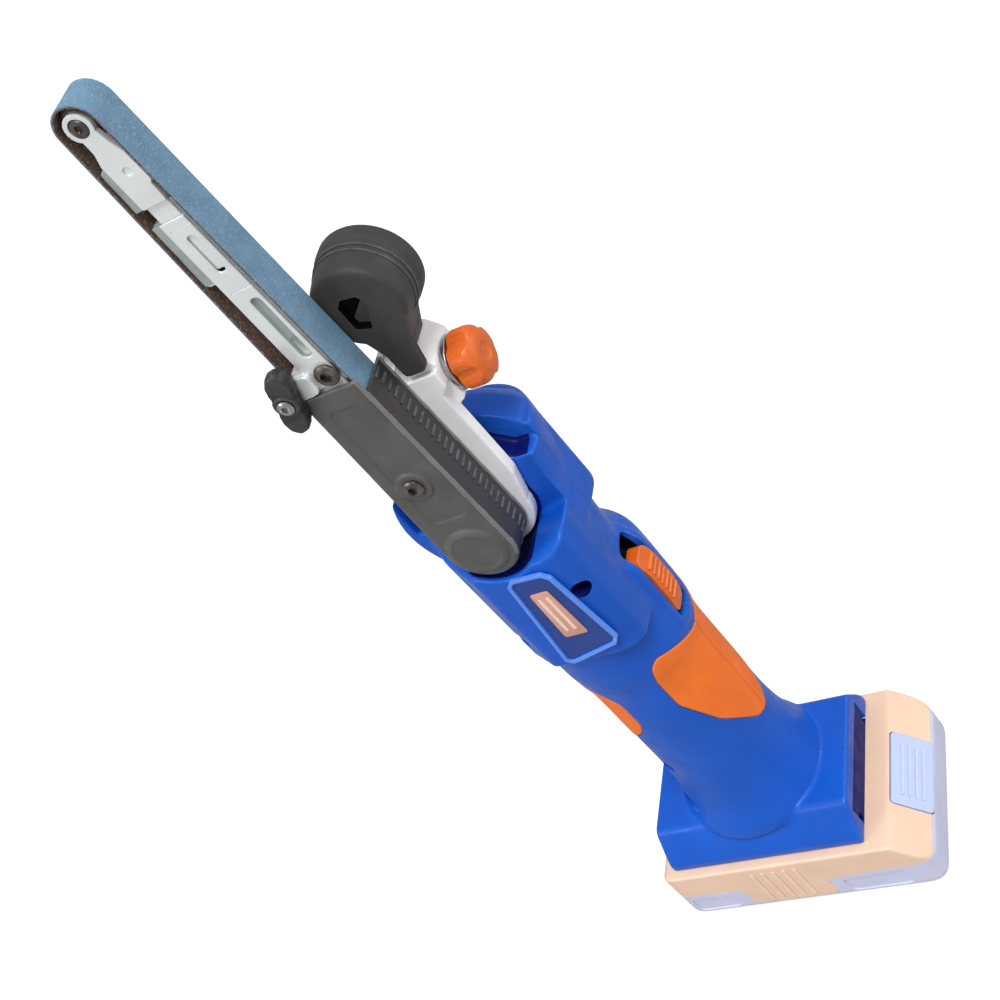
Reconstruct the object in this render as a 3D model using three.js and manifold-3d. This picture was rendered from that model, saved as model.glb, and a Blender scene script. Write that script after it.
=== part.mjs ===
// Cordless narrow-belt sander (13 x 451 mm belt). Millimetres, +Z from the battery's base to the belt's tip.
// The tool stands on its battery: the origin is where the tool's long axis meets the battery's flat base.
// -Y is the tool's left side, which carries the belt arm; +X is the top, which carries the slide switch.
import * as THREE from "three";
import { mergeVertices } from "three/addons/utils/BufferGeometryUtils.js";
import Module from "manifold-3d";

const wasm = await Module();
wasm.setup();

// ---- driving dimensions ----
const GAP = 0.3; // clearance between neighbouring pieces
const DRIVE_Z = 254; // height of the drive spindle's axis
const BELT_Y = -22.7; // middle of the belt's width
const BELT_WIDTH = 13;
const BELT_THICK = 0.9;
const AXLE_SPACING = 194.5;
const DRIVE_R = 11.1; // inner radius of the belt round the drive wheel
const IDLER_R = 6.9; // inner radius of the belt round the front roller
const IDLER_Z = DRIVE_Z + AXLE_SPACING;
const SPINDLE_R = 4;
const WALL = 2.4; // housing wall
const HANDLE_R = 26.8;
const HEAD_R = 35.5; // round gear head, about the drive spindle
const HEAD_FRONT_Y = -14; // flat left face of the gear head
const FOOT_Z0 = 35;
const FOOT_Z1 = 54.6;
const BATTERY = { x0: -53.3, x1: 68.3, halfWidth: 39.2, split: 13, top: 34.7 };
const GEAR_TEETH = 24;
const PINION_TEETH = 9;
const GEAR_PITCH_R = 14;
const PINION_PITCH_R = (GEAR_PITCH_R * PINION_TEETH) / GEAR_TEETH;
const ROUND = 32; // facets of a large circle
const FINE = 14; // facets of a small circle
const CORNER = 4; // facets of a rounded corner

// ---- solids ----
function solid(geometry) {
  geometry.deleteAttribute("normal");
  geometry.deleteAttribute("uv");
  const merged = mergeVertices(geometry.index ? geometry.toNonIndexed() : geometry, 1e-4);
  const vertProperties = merged.attributes.position.array;
  const triVerts = new Uint32Array(merged.index.array);
  return new wasm.Manifold(new wasm.Mesh({ numProp: 3, vertProperties, triVerts }));
}

// A closed outline of [radius, height] points turned about an axis; the points may run either way round.
function latheGeometry(profile, segments) {
  const points = profile.map(([r, h]) => new THREE.Vector2(r, h));
  if (THREE.ShapeUtils.area(points) < 0) points.reverse();
  const closes = points[0].x > 0 || points.at(-1).x > 0;
  if (closes) points.push(points[0].clone());
  return new THREE.LatheGeometry(points, segments);
}
const turnedZ = (profile, segments = ROUND) => solid(latheGeometry(profile, segments).rotateX(Math.PI / 2));
const turnedY = (profile, x, z, segments = ROUND) => solid(latheGeometry(profile, segments).translate(x, 0, z));
const turnedX = (profile, y, z, segments = FINE) =>
  solid(latheGeometry(profile, segments).rotateZ(-Math.PI / 2).translate(0, y, z));
const tube = (r0, r1, h0, h1) => [[r0, h0], [r1, h0], [r1, h1], [r0, h1]];
const disc = (r, h0, h1) => [[0, h0], [r, h0], [r, h1], [0, h1]];

const outline = (points) => new THREE.Shape(points.map(([a, b]) => new THREE.Vector2(a, b)));
const extruded = (shape, depth, curveSegments) =>
  new THREE.ExtrudeGeometry(shape, { depth, bevelEnabled: false, curveSegments });
// outline in (X, Y), pulled along Z
const prismZ = (shape, z0, z1) => solid(extruded(shape, z1 - z0, CORNER).translate(0, 0, z0));
// outline in (X, Z), pulled along Y
const prismY = (shape, y0, y1, arc = CORNER) =>
  solid(extruded(shape, y1 - y0, arc).rotateX(Math.PI / 2).translate(0, y1, 0));
// outline in (Y, Z), pulled along X
const prismX = (shape, x0, x1) =>
  solid(extruded(shape, x1 - x0, CORNER).rotateX(Math.PI / 2).rotateZ(Math.PI / 2).translate(x0, 0, 0));

function block(x0, x1, y0, y1, z0, z1) {
  const box = new THREE.BoxGeometry(x1 - x0, y1 - y0, z1 - z0);
  return solid(box.translate((x0 + x1) / 2, (y0 + y1) / 2, (z0 + z1) / 2));
}

function rounded(x0, x1, y0, y1, radius) {
  const shape = new THREE.Shape();
  shape.moveTo(x0 + radius, y0);
  shape.lineTo(x1 - radius, y0);
  shape.absarc(x1 - radius, y0 + radius, radius, -Math.PI / 2, 0);
  shape.lineTo(x1, y1 - radius);
  shape.absarc(x1 - radius, y1 - radius, radius, 0, Math.PI / 2);
  shape.lineTo(x0 + radius, y1);
  shape.absarc(x0 + radius, y1 - radius, radius, Math.PI / 2, Math.PI);
  shape.lineTo(x0, y0 + radius);
  shape.absarc(x0 + radius, y0 + radius, radius, Math.PI, 1.5 * Math.PI);
  return shape;
}

const join = (...solids) => solids.reduce((a, b) => a.add(b));
const cut = (body, ...tools) => tools.reduce((a, b) => a.subtract(b), body);

function geometryOf(made) {
  const { vertProperties, triVerts } = made.getMesh();
  const geometry = new THREE.BufferGeometry();
  geometry.setAttribute("position", new THREE.BufferAttribute(new Float32Array(vertProperties), 3));
  geometry.setIndex(new THREE.BufferAttribute(new Uint32Array(triVerts), 1));
  geometry.computeVertexNormals();
  return geometry;
}

// ---- materials ----
const finish = (color, roughness, metalness = 0) => ({ color, roughness, metalness });
const FINISH = {
  bluePlastic: finish(0x1e50b9, 0.45),
  orangeRubber: finish(0xee7a2d, 0.6),
  darkPlastic: finish(0x4b4a49, 0.6),
  blackPlastic: finish(0x242324, 0.5),
  castAlloy: finish(0xd8dade, 0.4, 0.8),
  armAlloy: finish(0xd7dede, 0.35, 0.8),
  steel: finish(0xa9abad, 0.3, 1),
  darkSteel: finish(0x3a3634, 0.4, 0.9),
  copper: finish(0xb87333, 0.35, 1),
  abrasive: finish(0x64879f, 0.9),
  badgeBlue: finish(0x4b78d8, 0.4),
  badgeLabel: finish(0xe1af9b, 0.5),
  board: finish(0x2f6b3a, 0.5),
  packPeach: finish(0xf6d9c2, 0.5),
  packLavender: finish(0xc3cce8, 0.5),
  cellSleeve: finish(0x6f8fb0, 0.4),
  rubberTyre: finish(0x2b2b2b, 0.8),
};

const sander = new THREE.Group();
function addPiece(name, made, look) {
  const mesh = new THREE.Mesh(geometryOf(made), new THREE.MeshStandardMaterial(FINISH[look]));
  mesh.name = name;
  sander.add(mesh);
}

// ---- belt run ----
// Half height of the belt's loop at a height above the drive spindle, for a loop inset by `inset`.
const RUN_SLOPE = (DRIVE_R - IDLER_R) / AXLE_SPACING;
const runHalf = (z, inset = 0) => DRIVE_R - (z - DRIVE_Z) * RUN_SLOPE - inset;

function beltLoop(grow) {
  const tilt = Math.asin(RUN_SLOPE);
  const shape = new THREE.Shape();
  shape.absarc(0, DRIVE_Z, DRIVE_R + grow, Math.PI - tilt, 2 * Math.PI + tilt);
  shape.absarc(0, IDLER_Z, IDLER_R + grow, tilt, Math.PI - tilt);
  shape.closePath();
  return shape;
}

// ---- housing: two plastic shells that part on the plane Y = 0 ----
const BARREL = [
  [46, 34], [54, 33.5], [62, 30.6], [72, 28.4], [84, 27.2], [95, HANDLE_R], [150, HANDLE_R],
  [158, 28.2], [166, 29], [197, 29.2], [203, 27.6], [208, 24.4], [214, 22.7], [224, 23.3], [266, 29],
  [276, 29.4],
];
const barrel = (inset, z0, z1) => {
  const side = BARREL.filter(([z]) => z > z0 && z < z1).map(([z, r]) => [r - inset, z]);
  const end = (z) => {
    const above = BARREL.findIndex(([height]) => height >= z);
    const [za, ra] = BARREL[Math.max(above - 1, 0)];
    const [zb, rb] = BARREL[above < 0 ? BARREL.length - 1 : above];
    return ra + (rb - ra) * (zb > za ? Math.min(Math.max((z - za) / (zb - za), 0), 1) : 0) - inset;
  };
  return turnedZ([[0, z0], [end(z0), z0], ...side, [end(z1), z1], [0, z1]]);
};

// The gear head: a round box about the spindle, cut flat on top and chamfered on the far top edge.
function gearHead(inset) {
  const r = HEAD_R - inset;
  const far = 22 - inset;
  const round = turnedY([[0, HEAD_FRONT_Y + inset], [r, HEAD_FRONT_Y + inset], [r, 11], [r - 2, 15],
    [r - 6.5, far - 2], [r - 11, far], [0, far]], 0, DRIVE_Z);
  const top = 26.6 - inset;
  const section = outline([[-40, -20], [top, -20], [top, 13], [14, 28], [-40, 28]]);
  return round.intersect(prismZ(section, 200, 300));
}

// A pocket in the gear head's left face beside the arm holder, outside the gear case.
const POCKET = [[10, 279], [20.5, 270], [40, 270], [40, 300], [10, 300]];
const POCKET_WALL = 1.5;
// The gear head's hollow stops short of the left face, where the arm holder has its recess.
function headRoom() {
  const room = gearHead(WALL).intersect(block(-60, 60, -6, 60, 200, 300));
  const around = POCKET.map(([x, z]) => [x - POCKET_WALL, z - POCKET_WALL]);
  return room.subtract(prismY(outline(around), -9, POCKET_WALL));
}

// The neck between motor and gear head: full on the left side, where it carries the badge, with a top that
// slopes back to the gear head and a round room for the end of the belt cover.
const NECK = [[16, -31], [21.5, -29.5], [26, -25.5], [27.2, -16], [26, -6], [24.5, 4], [20, 12],
  [12, 14.5], [-20, 14], [-30, 4], [-30, -12], [-24, -22], [-13, -31]];
const NECK_Z0 = 184;
const NECK_Z1 = 250;
function neck() {
  const top = outline([[-50, NECK_Z0 - 10], [30, NECK_Z0 - 10], [30, NECK_Z1], [HEAD_FRONT_Y, NECK_Z1],
    [-31, NECK_Z1 - 10], [-50, NECK_Z1 - 20]]);
  const pad = prismZ(outline(NECK), NECK_Z0, NECK_Z1).intersect(prismX(top, -50, 50));
  const bossRoom = turnedY(disc(15.6, -40, HEAD_FRONT_Y), 0, DRIVE_Z);
  return pad.subtract(bossRoom);
}

function foot(inset) {
  const wall = outline([[-35.3 + inset, FOOT_Z0], [35.3 - inset, FOOT_Z0], [25 - inset, FOOT_Z1 - inset],
    [-25 + inset, FOOT_Z1 - inset]]);
  const length = rounded(-45 + inset, 44.5 - inset, -60, 60, 4);
  return prismX(wall, -45 + inset, 44.5 - inset).intersect(prismZ(length, FOOT_Z0 - 1, FOOT_Z1 + 1));
}

const outer = () => join(barrel(0, 50, 276), neck(), gearHead(0), foot(0));
function inner() {
  const handle = barrel(WALL + 1.8, 40, 157);
  const motorRoom = barrel(WALL, 150, 214);
  const behindFace = block(-60, 60, -60, -7, 226, 300);
  const toHead = barrel(WALL, 205, 270).subtract(behindFace);
  return join(handle, motorRoom, toHead, headRoom(), foot(WALL).translate(0, 0, -0.01));
}

// Orange overmoulds: outlines seen square to the grip at `turn` degrees round from +X, in (sideways, Z).
const UPPER_GRIP = { turn: -35, points: [[15.2, 94], [15.2, 155], [13.3, 156], [1.4, 161.5], [-7.8, 166],
  [-11.5, 162], [-12.5, 154], [-12.1, 136], [-4.2, 116], [9.1, 99.6]] };
const LOWER_GRIP = { turn: -140, points: [[14.9, 131], [14.9, 147], [10, 154], [0, 158], [-17, 158],
  [-17, 116], [5, 119], [12, 125]] };
const GRIP_THICK = 1.7;

function gripSolid({ turn, points }, side, inset, grow) {
  const shape = new THREE.Shape(points.map(([t, z]) => new THREE.Vector2(t, z)));
  const angle = THREE.MathUtils.degToRad(turn);
  const window = solid(
    extruded(shape, 60, CORNER).rotateX(Math.PI / 2).rotateZ(Math.PI / 2).rotateZ(angle),
  );
  const ring = barrel(inset, 80, 180).subtract(barrel(inset + grow, 79, 181));
  const half = block(-60, 60, -60, -GAP / 2, 60, 200);
  const left = ring.intersect(window).intersect(half);
  return side < 0 ? left : left.mirror([0, 1, 0]);
}

// [X, Z, Y of the head's seat] of the four screws that close the housing
const SCREWS = [[20.5, 220.5, -16], [-22, 196, -16], [-17, 94, -14], [-22.5, 63.5, -13.5]];
const HOUSING_SCREW = { head: 3.2, shank: 1.9, length: 19, boreEnd: 5.5, post: 4.6, postEnd: 9.6 };

function housingHalf(side) {
  const keep = side < 0 ? block(-90, 90, -90, 0, 20, 300) : block(-90, 90, 0, 90, 20, 300);
  let shell = outer().subtract(inner()).intersect(keep);
  const recess = (grip) => gripSolid(grip, side, -0.2, GRIP_THICK + 0.2 + GAP);
  shell = cut(shell, recess(UPPER_GRIP), recess(LOWER_GRIP));
  const ringRoom = turnedY(disc(17.6, -40, -8.4), 0, DRIVE_Z);
  const swing = [[-31, 0], [0, 0], [12, -13.2], [28, -8.4], [31, 0], [31, 31], [-31, 31]];
  const swingRoom = prismY(outline(swing.map(([x, z]) => [x, DRIVE_Z + z])), -40, -8.4);
  const headFront = block(-28, 40, -40, -8.4, DRIVE_Z, 300);
  const topSlot = prismX(rounded(-6.2, 6.2, 165.5, 208.5, 3), 15, 40);
  const neckBore = turnedY(disc(12.9, -40, 5), 0, DRIVE_Z);
  const pocket = prismY(outline(POCKET), -40, 0);
  shell = cut(shell, ringRoom, swingRoom, headFront, pocket, topSlot, neckBore);
  const batteryRoom = block(-42.3, 60, -26.5, 26.5, 30, 47.5);
  shell = cut(shell, batteryRoom);
  for (const [x, z, seat] of SCREWS) {
    const bore = turnedY(disc(HOUSING_SCREW.shank + GAP, -60, HOUSING_SCREW.boreEnd), x, z, FINE);
    const mouth = turnedY(disc(HOUSING_SCREW.head + GAP, -60, seat), x, z, FINE);
    const reach = side < 0 ? [seat - 3, -GAP / 2] : [GAP / 2, HOUSING_SCREW.postEnd];
    const post = turnedY(disc(HOUSING_SCREW.post, ...reach), x, z, FINE).intersect(outer());
    shell = cut(join(shell, post), bore, mouth);
  }
  const rail = side < 0 ? block(-42.5, 42, -32.6, -23.5, 36.2, 39.8) : block(-42.5, 42, 23.5, 32.6, 36.2, 39.8);
  shell = join(shell, rail);
  return shell.intersect(side < 0 ? block(-90, 90, -90, -GAP / 2, 20, 300) : block(-90, 90, GAP / 2, 90, 20, 300));
}

addPiece("housing_left", housingHalf(-1), "bluePlastic");
addPiece("housing_right", housingHalf(1), "bluePlastic");
addPiece("grip_upper_left", gripSolid(UPPER_GRIP, -1, 0, GRIP_THICK), "orangeRubber");
addPiece("grip_upper_right", gripSolid(UPPER_GRIP, 1, 0, GRIP_THICK), "orangeRubber");
addPiece("grip_lower_left", gripSolid(LOWER_GRIP, -1, 0, GRIP_THICK), "orangeRubber");
addPiece("grip_lower_right", gripSolid(LOWER_GRIP, 1, 0, GRIP_THICK), "orangeRubber");

// ---- badge: a raised generic plate on the left pad ----
const BADGE = [[-1.2, 234.5], [1.6, 237.2], [14, 236.6], [16.8, 233.6], [20.8, 195], [18.2, 191.4], [-3, 186.2],
  [-5.8, 188.4]];
function badge() {
  const plate = prismY(outline(BADGE), -33, -31 - GAP);
  const middle = outline(BADGE.map(([x, z]) => [7.6 + (x - 7.6) * 0.84, 212 + (z - 212) * 0.92]));
  return plate.subtract(prismY(middle, -34, -32.2));
}
addPiece("badge_plate", badge(), "badgeBlue");

SCREWS.forEach(([x, z, seat], i) => {
  const { head, shank, length } = HOUSING_SCREW;
  const top = seat - GAP;
  const socket = turnedY(disc(1.6, top - 4, top - 1.2), x, z, 6);
  const body = turnedY([[0, top - 2.5], [head, top - 2.5], [head, top], [shank, top], [shank, top + length],
    [0, top + length]], x, z, FINE);
  addPiece(`housing_screw_${i + 1}`, cut(body, socket), "darkSteel");
});

// ---- gear case: a cup with a round neck that the arm holder clamps ----
const CASE_R = 22.4;
const NECK_R = 12;
function gearCase() {
  const cup = turnedY([[9.8, -13.4], [NECK_R, -13.4], [NECK_R, -5.6], [CASE_R, -5.6], [CASE_R, 12],
    [CASE_R - 2, 12], [CASE_R - 2, -2.6], [9.8, -2.6]], 0, DRIVE_Z);
  const pinionRoom = turnedZ(disc(7.2, 225, 246.5), 24);
  return cut(cup, turnedZ(disc(9, 225, 240), FINE), pinionRoom);
}
addPiece("gear_case", gearCase(), "castAlloy");
addPiece("gear_case_cover", turnedY([[8.3, 11.6], [12, 11.6], [12, 12.3], [CASE_R, 12.3], [CASE_R - 2, 14.8],
  [11, 17.5], [8.3, 17.5]], 0, DRIVE_Z), "castAlloy");
addPiece("spindle_bearing_front", turnedY(tube(SPINDLE_R + GAP, 9.5, -11, -5), 0, DRIVE_Z, 24), "steel");
addPiece("spindle_bearing_rear", turnedY(tube(SPINDLE_R + GAP, 8, 12, 17), 0, DRIVE_Z, 24), "steel");

// ---- drive spindle, wheel and bevel gear ----
addPiece("drive_spindle", turnedY(disc(SPINDLE_R, -29.4, 16.5), 0, DRIVE_Z, 24), "steel");
const WHEEL_R = DRIVE_R - GAP;
addPiece("drive_wheel", turnedY([[SPINDLE_R + GAP, -28.8], [WHEEL_R - 0.4, -28.8], [WHEEL_R, -25],
  [WHEEL_R, -20.4], [WHEEL_R - 0.4, -16.6], [SPINDLE_R + GAP, -16.6]], 0, DRIVE_Z), "rubberTyre");

// A straight bevel gear on +Z with its cones' common tip at the origin: five rings of points, from the bore's
// back edge round the hub, the teeth's wide ends and their narrow ends to the bore's front edge.
const TOOTH = { face: 5, out: 1, root: 1.2, tipHalf: 0.12, rootHalf: 0.27, hub: 2.4 };
function bevelBody(teeth, pitchR, reach, bore) {
  const slant = Math.hypot(pitchR, reach);
  const [sin, cos] = [pitchR / slant, reach / slant];
  const at = (along, off) => [along * sin + off * cos, along * cos - off * sin];
  const narrow = (slant - TOOTH.face) / slant;
  const corners = [[-TOOTH.rootHalf, -TOOTH.root], [-TOOTH.tipHalf, TOOTH.out], [TOOTH.tipHalf, TOOTH.out],
    [TOOTH.rootHalf, -TOOTH.root]];
  const count = corners.length * teeth;
  const [hubR, backZ] = at(slant, -TOOTH.root - TOOTH.hub);
  const frontZ = at(slant, -TOOTH.root)[1] * narrow;
  const wide = (off) => at(slant, off);
  const rings = [() => [bore, backZ], () => [hubR, backZ], wide, (off) => wide(off).map((v) => v * narrow),
    () => [bore, frontZ]];
  const positions = [];
  for (const ring of rings) {
    for (let i = 0; i < count; i += 1) {
      const [share, off] = corners[i % corners.length];
      const angle = Math.PI / 2 + (2 * Math.PI * (Math.floor(i / corners.length) + share)) / teeth;
      const [r, z] = ring(off);
      positions.push(r * Math.cos(angle), r * Math.sin(angle), z);
    }
  }
  const index = [];
  for (let k = 0; k < rings.length; k += 1) {
    const above = (k + 1) % rings.length;
    for (let i = 0; i < count; i += 1) {
      const next = (i + 1) % count;
      const [a, b, c, d] = [k * count + i, k * count + next, above * count + next, above * count + i];
      index.push(a, c, b, a, d, c);
    }
  }
  const geometry = new THREE.BufferGeometry();
  geometry.setAttribute("position", new THREE.Float32BufferAttribute(positions, 3));
  geometry.setIndex(index);
  return solid(geometry);
}
const bevelGear = bevelBody(GEAR_TEETH, GEAR_PITCH_R, PINION_PITCH_R, SPINDLE_R + GAP);
addPiece("bevel_gear", bevelGear.rotate([-90, 0, 0]).translate(0, 0, DRIVE_Z), "steel");
const SHAFT_R = 2.2;
const SHAFT_END_R = 1.6; // where the pinion sits
const bevelPinion = bevelBody(PINION_TEETH, PINION_PITCH_R, GEAR_PITCH_R, SHAFT_END_R + GAP);
addPiece("bevel_pinion", bevelPinion.rotate([180, 0, 0]).translate(0, 0, DRIVE_Z), "steel");

// ---- motor ----
const MOTOR = { r: 20.2, z0: 128, z1: 190 };
addPiece("motor_can", turnedZ([[MOTOR.r - 2, MOTOR.z0], [MOTOR.r, MOTOR.z0], [MOTOR.r, MOTOR.z1],
  [6, MOTOR.z1], [6, MOTOR.z1 - 2], [MOTOR.r - 2, MOTOR.z1 - 2]]), "darkSteel");
addPiece("motor_rotor", turnedZ([[0, 116], [SHAFT_R, 116], [SHAFT_R, 140], [15.5, 140], [15.5, 180],
  [SHAFT_R, 180], [SHAFT_R, 230], [SHAFT_END_R, 230], [SHAFT_END_R, 244.8], [0, 244.8]], 24), "steel");
addPiece("commutator", turnedZ(tube(SHAFT_R + GAP, 7.5, 126, 138), 24), "copper");
addPiece("brush_ring", turnedZ([[8.4, 126], [13, 126], [13, 122.5], [MOTOR.r - 3, 122.5], [MOTOR.r - 3, 127.5],
  [MOTOR.r - 3, 136], [8.4, 136]], 24), "blackPlastic");
function fan() {
  const FAN_BLADES = 11;
  let made = turnedZ([[SHAFT_R + GAP, 193], [17, 193], [17, 194.2], [5, 194.2], [5, 200], [SHAFT_R + GAP, 200]], 24);
  for (let i = 0; i < FAN_BLADES; i += 1) {
    const blade = block(4.5, 16.8, -0.5, 0.5, 194, 199.5);
    made = made.add(blade.rotate([0, 0, (360 * i) / FAN_BLADES]));
  }
  return made;
}
addPiece("cooling_fan", fan(), "blackPlastic");
addPiece("motor_bearing_rear", turnedZ(tube(SHAFT_R + GAP, 6.5, 117, 121), 24), "steel");
addPiece("motor_bearing_front", turnedZ(tube(SHAFT_R + GAP, 8, 212, 217), 24), "steel");

// ---- switch ----
function switchButton() {
  const face = rounded(-5.6, 5.6, 168, 168 + 32, 4);
  const body = prismX(face, 22.8, 30.4);
  const crown = outline([[22, 160], [28.6, 160], [28.8, 168], [30.4, 178], [30.4, 192], [28.4, 200], [28, 210],
    [22, 210]]);
  return body.intersect(prismY(crown, -10, 10));
}
addPiece("switch_button", switchButton(), "orangeRubber");
addPiece("switch_rod", block(21.1, 22.3, -2.2, 2.2, 104, 196), "blackPlastic");
addPiece("switch_module", block(-9, 14, -9, 9, 92, 114), "blackPlastic");

// ---- electrics in the foot ----
addPiece("circuit_board", block(-17, 17, -19, 19, 58, 60), "board");
const BLADE_Y = 8;
addPiece("terminal_block", block(-42, -34.5, -15, 15, 41, 47.2), "blackPlastic");
[-1, 1].forEach((side, i) => {
  const blade = block(-34.2, -23, side * BLADE_Y - 0.5, side * BLADE_Y + 0.5, 42, 45.5);
  addPiece(`terminal_blade_${i + 1}`, blade, "copper");
});

// ---- arm holder: a split clamp on the gear case's neck, with a thick nose in front ----
const HOLDER_Y = -13.7;
const LOCK = { y: -1, z: 311, r: 10.5 };
const HOLDER_SCREWS = [[-3, 281], [-3, 317]];
function armHolder() {
  const plate = prismY(outline([[-11, DRIVE_Z], [-11, 314], [-4, 326], [19, 326], [23.8, 320], [23.8, 312],
    [20.3, 309], [20.3, 268], [17, DRIVE_Z]]), HOLDER_Y, -8.8);
  const ring = turnedY(disc(17, HOLDER_Y, -8.8), 0, DRIVE_Z);
  const nose = prismY(outline([[-4, 301], [-4, 320], [2, 326], [19, 326], [23.8, 320], [23.8, 303], [21.8, 301]]),
    -9, 8);
  const headClear = turnedY(disc(HEAD_R + 1.5, -8.8, 40), 0, DRIVE_Z);
  const bore = turnedY(disc(NECK_R + GAP, -20, 0), 0, DRIVE_Z);
  const split = block(5, 6.6, -20, 20, DRIVE_Z + 4, 340);
  const screwBore = turnedX(disc(3.1, -3, 40), LOCK.y, LOCK.z);
  const nozzleSeat = block(12.4, 40, -20, -10.9, 318.4, 340);
  const threads = HOLDER_SCREWS.map(([x, z]) => turnedY(disc(2.5, -20, -5), x, z, FINE));
  return cut(join(plate, ring, nose.subtract(headClear)), bore, split, screwBore, nozzleSeat, ...threads);
}
addPiece("arm_holder", armHolder(), "castAlloy");
addPiece("lock_washer", turnedX(tube(3.1, 9.6, 24.1, 26), LOCK.y, LOCK.z, 24), "steel");
addPiece("lock_screw", turnedX([[0, -2], [2.8, -2], [2.8, 33], [0, 33]], LOCK.y, LOCK.z), "steel");

function lobedOutline(radius, depth, lobes, steps) {
  const points = [];
  for (let i = 0; i < steps; i += 1) {
    const angle = (2 * Math.PI * i) / steps;
    const r = radius - (depth * (1 - Math.cos(lobes * angle))) / 2;
    points.push([r * Math.cos(angle), r * Math.sin(angle)]);
  }
  return points;
}
function lockKnob() {
  const lobed = outline(lobedOutline(LOCK.r, 1.8, 5, 40).map(([a, b]) => [LOCK.y + a, LOCK.z + b]));
  const crown = turnedX([[0, 26.3], [LOCK.r - 1, 26.3], [LOCK.r, 27.5], [LOCK.r, 33.5], [LOCK.r - 2.5, 36],
    [0, 36]], LOCK.y, LOCK.z, ROUND);
  const bore = turnedX(disc(3.1, 20, 33.3), LOCK.y, LOCK.z);
  return prismX(lobed, 26.3, 36).intersect(crown).subtract(bore);
}
addPiece("lock_knob", lockKnob(), "orangeRubber");

// ---- belt arm ----
const ARM_Y0 = -28.9;
const ARM_Y1 = -16.5;
const RAIL_Z0 = 269;
const RAIL_Z1 = 412.7;
const COVER_SCREW = [-1, 291];
const PIVOT = [4.1, 344.4];
const TRACKING = [-11.3, 343.5];
const FORK_TRAVEL = 6;
const slot = (x, z0, z1, half) => rounded(x - half, x + half, z0, z1, half * 0.98);
// Below the arm's lower edge the belt's back shows, and nearer the tip a flange set back from the face.
const LOWER_EDGE = { x: -3.8, open0: 349, open1: 388, flangeY: -27.4 };
const SLEEVE = { x0: -3.6, x1: 5.2, y0: -28.3, y1: -17.6, z0: 384 };
function armRail() {
  const side = outline([[runHalf(RAIL_Z0, 1.9), RAIL_Z0], [runHalf(RAIL_Z1, 1.9), RAIL_Z1],
    [-runHalf(RAIL_Z1, 1.6), RAIL_Z1], [-runHalf(RAIL_Z0, 1.6), RAIL_Z0]]);
  const beam = prismY(side, ARM_Y0, ARM_Y1);
  const bosses = HOLDER_SCREWS.map(([x, z]) => turnedY(disc(4.6, ARM_Y1 - 1, HOLDER_Y - GAP), x, z, FINE));
  const lug = prismY(rounded(-15, -1, 339.6, 348, 3.5), -31.2, -29.5);
  const lugRoot = block(-7, -1, -29.6, -28, 340, 347.6);
  const sleeve = block(SLEEVE.x0, SLEEVE.x1, SLEEVE.y0, SLEEVE.y1, SLEEVE.z0, RAIL_Z1 + 1);
  const openEdge = block(-20, LOWER_EDGE.x, -40, 0, LOWER_EDGE.open0, LOWER_EDGE.open1);
  const setBack = block(-20, LOWER_EDGE.x, -40, LOWER_EDGE.flangeY, LOWER_EDGE.open1 - 1, RAIL_Z1 + 1);
  const springBore = turnedZ(disc(3.1, 366, 390), FINE).translate(0, BELT_Y, 0);
  const wheelRoom = turnedY(disc(WHEEL_R + 1.2, -40, 0), 0, DRIVE_Z);
  const slots = [prismY(slot(2, 391, 406, 1.7), -35, -28), prismY(slot(3.2, 352.5, 379, 2), -35, -27.7),
    prismY(slot(3.4, 352.5, 360.5, 1.9), -35, -24)];
  const seats = HOLDER_SCREWS.flatMap(([x, z]) => [turnedY(disc(2.5, -35, -5), x, z, FINE),
    turnedY(disc(4.2, -35, -24.6), x, z, FINE)]);
  const threads = [[COVER_SCREW, -21], [PIVOT, -22]].map(([[x, z], y]) => turnedY(disc(2.2, -35, y), x, z, FINE));
  const knobBore = turnedY(disc(2.2, -35, -20), ...TRACKING, FINE);
  return cut(join(beam, ...bosses, lug, lugRoot), sleeve, openEdge, setBack, springBore, wheelRoom, ...slots,
    ...seats, ...threads, knobBore);
}
addPiece("arm_rail", armRail(), "armAlloy");

HOLDER_SCREWS.forEach(([x, z], i) => {
  const body = turnedY([[0, -28.6], [3.9, -28.6], [3.9, -24.9], [2.2, -24.9], [2.2, -9.2], [0, -9.2]], x, z, FINE);
  addPiece(`arm_screw_${i + 1}`, body, "darkSteel");
});

function platen() {
  const [z0, z1] = [278, 419];
  const strip = outline([[runHalf(z0, 1.5), z0], [runHalf(z0, 0.5), z0], [runHalf(z1, 0.5), z1],
    [runHalf(z1, 1.5), z1]]);
  return prismY(strip, ARM_Y0 + 0.3, ARM_Y1 - 0.3);
}
addPiece("platen", platen(), "steel");

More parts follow.
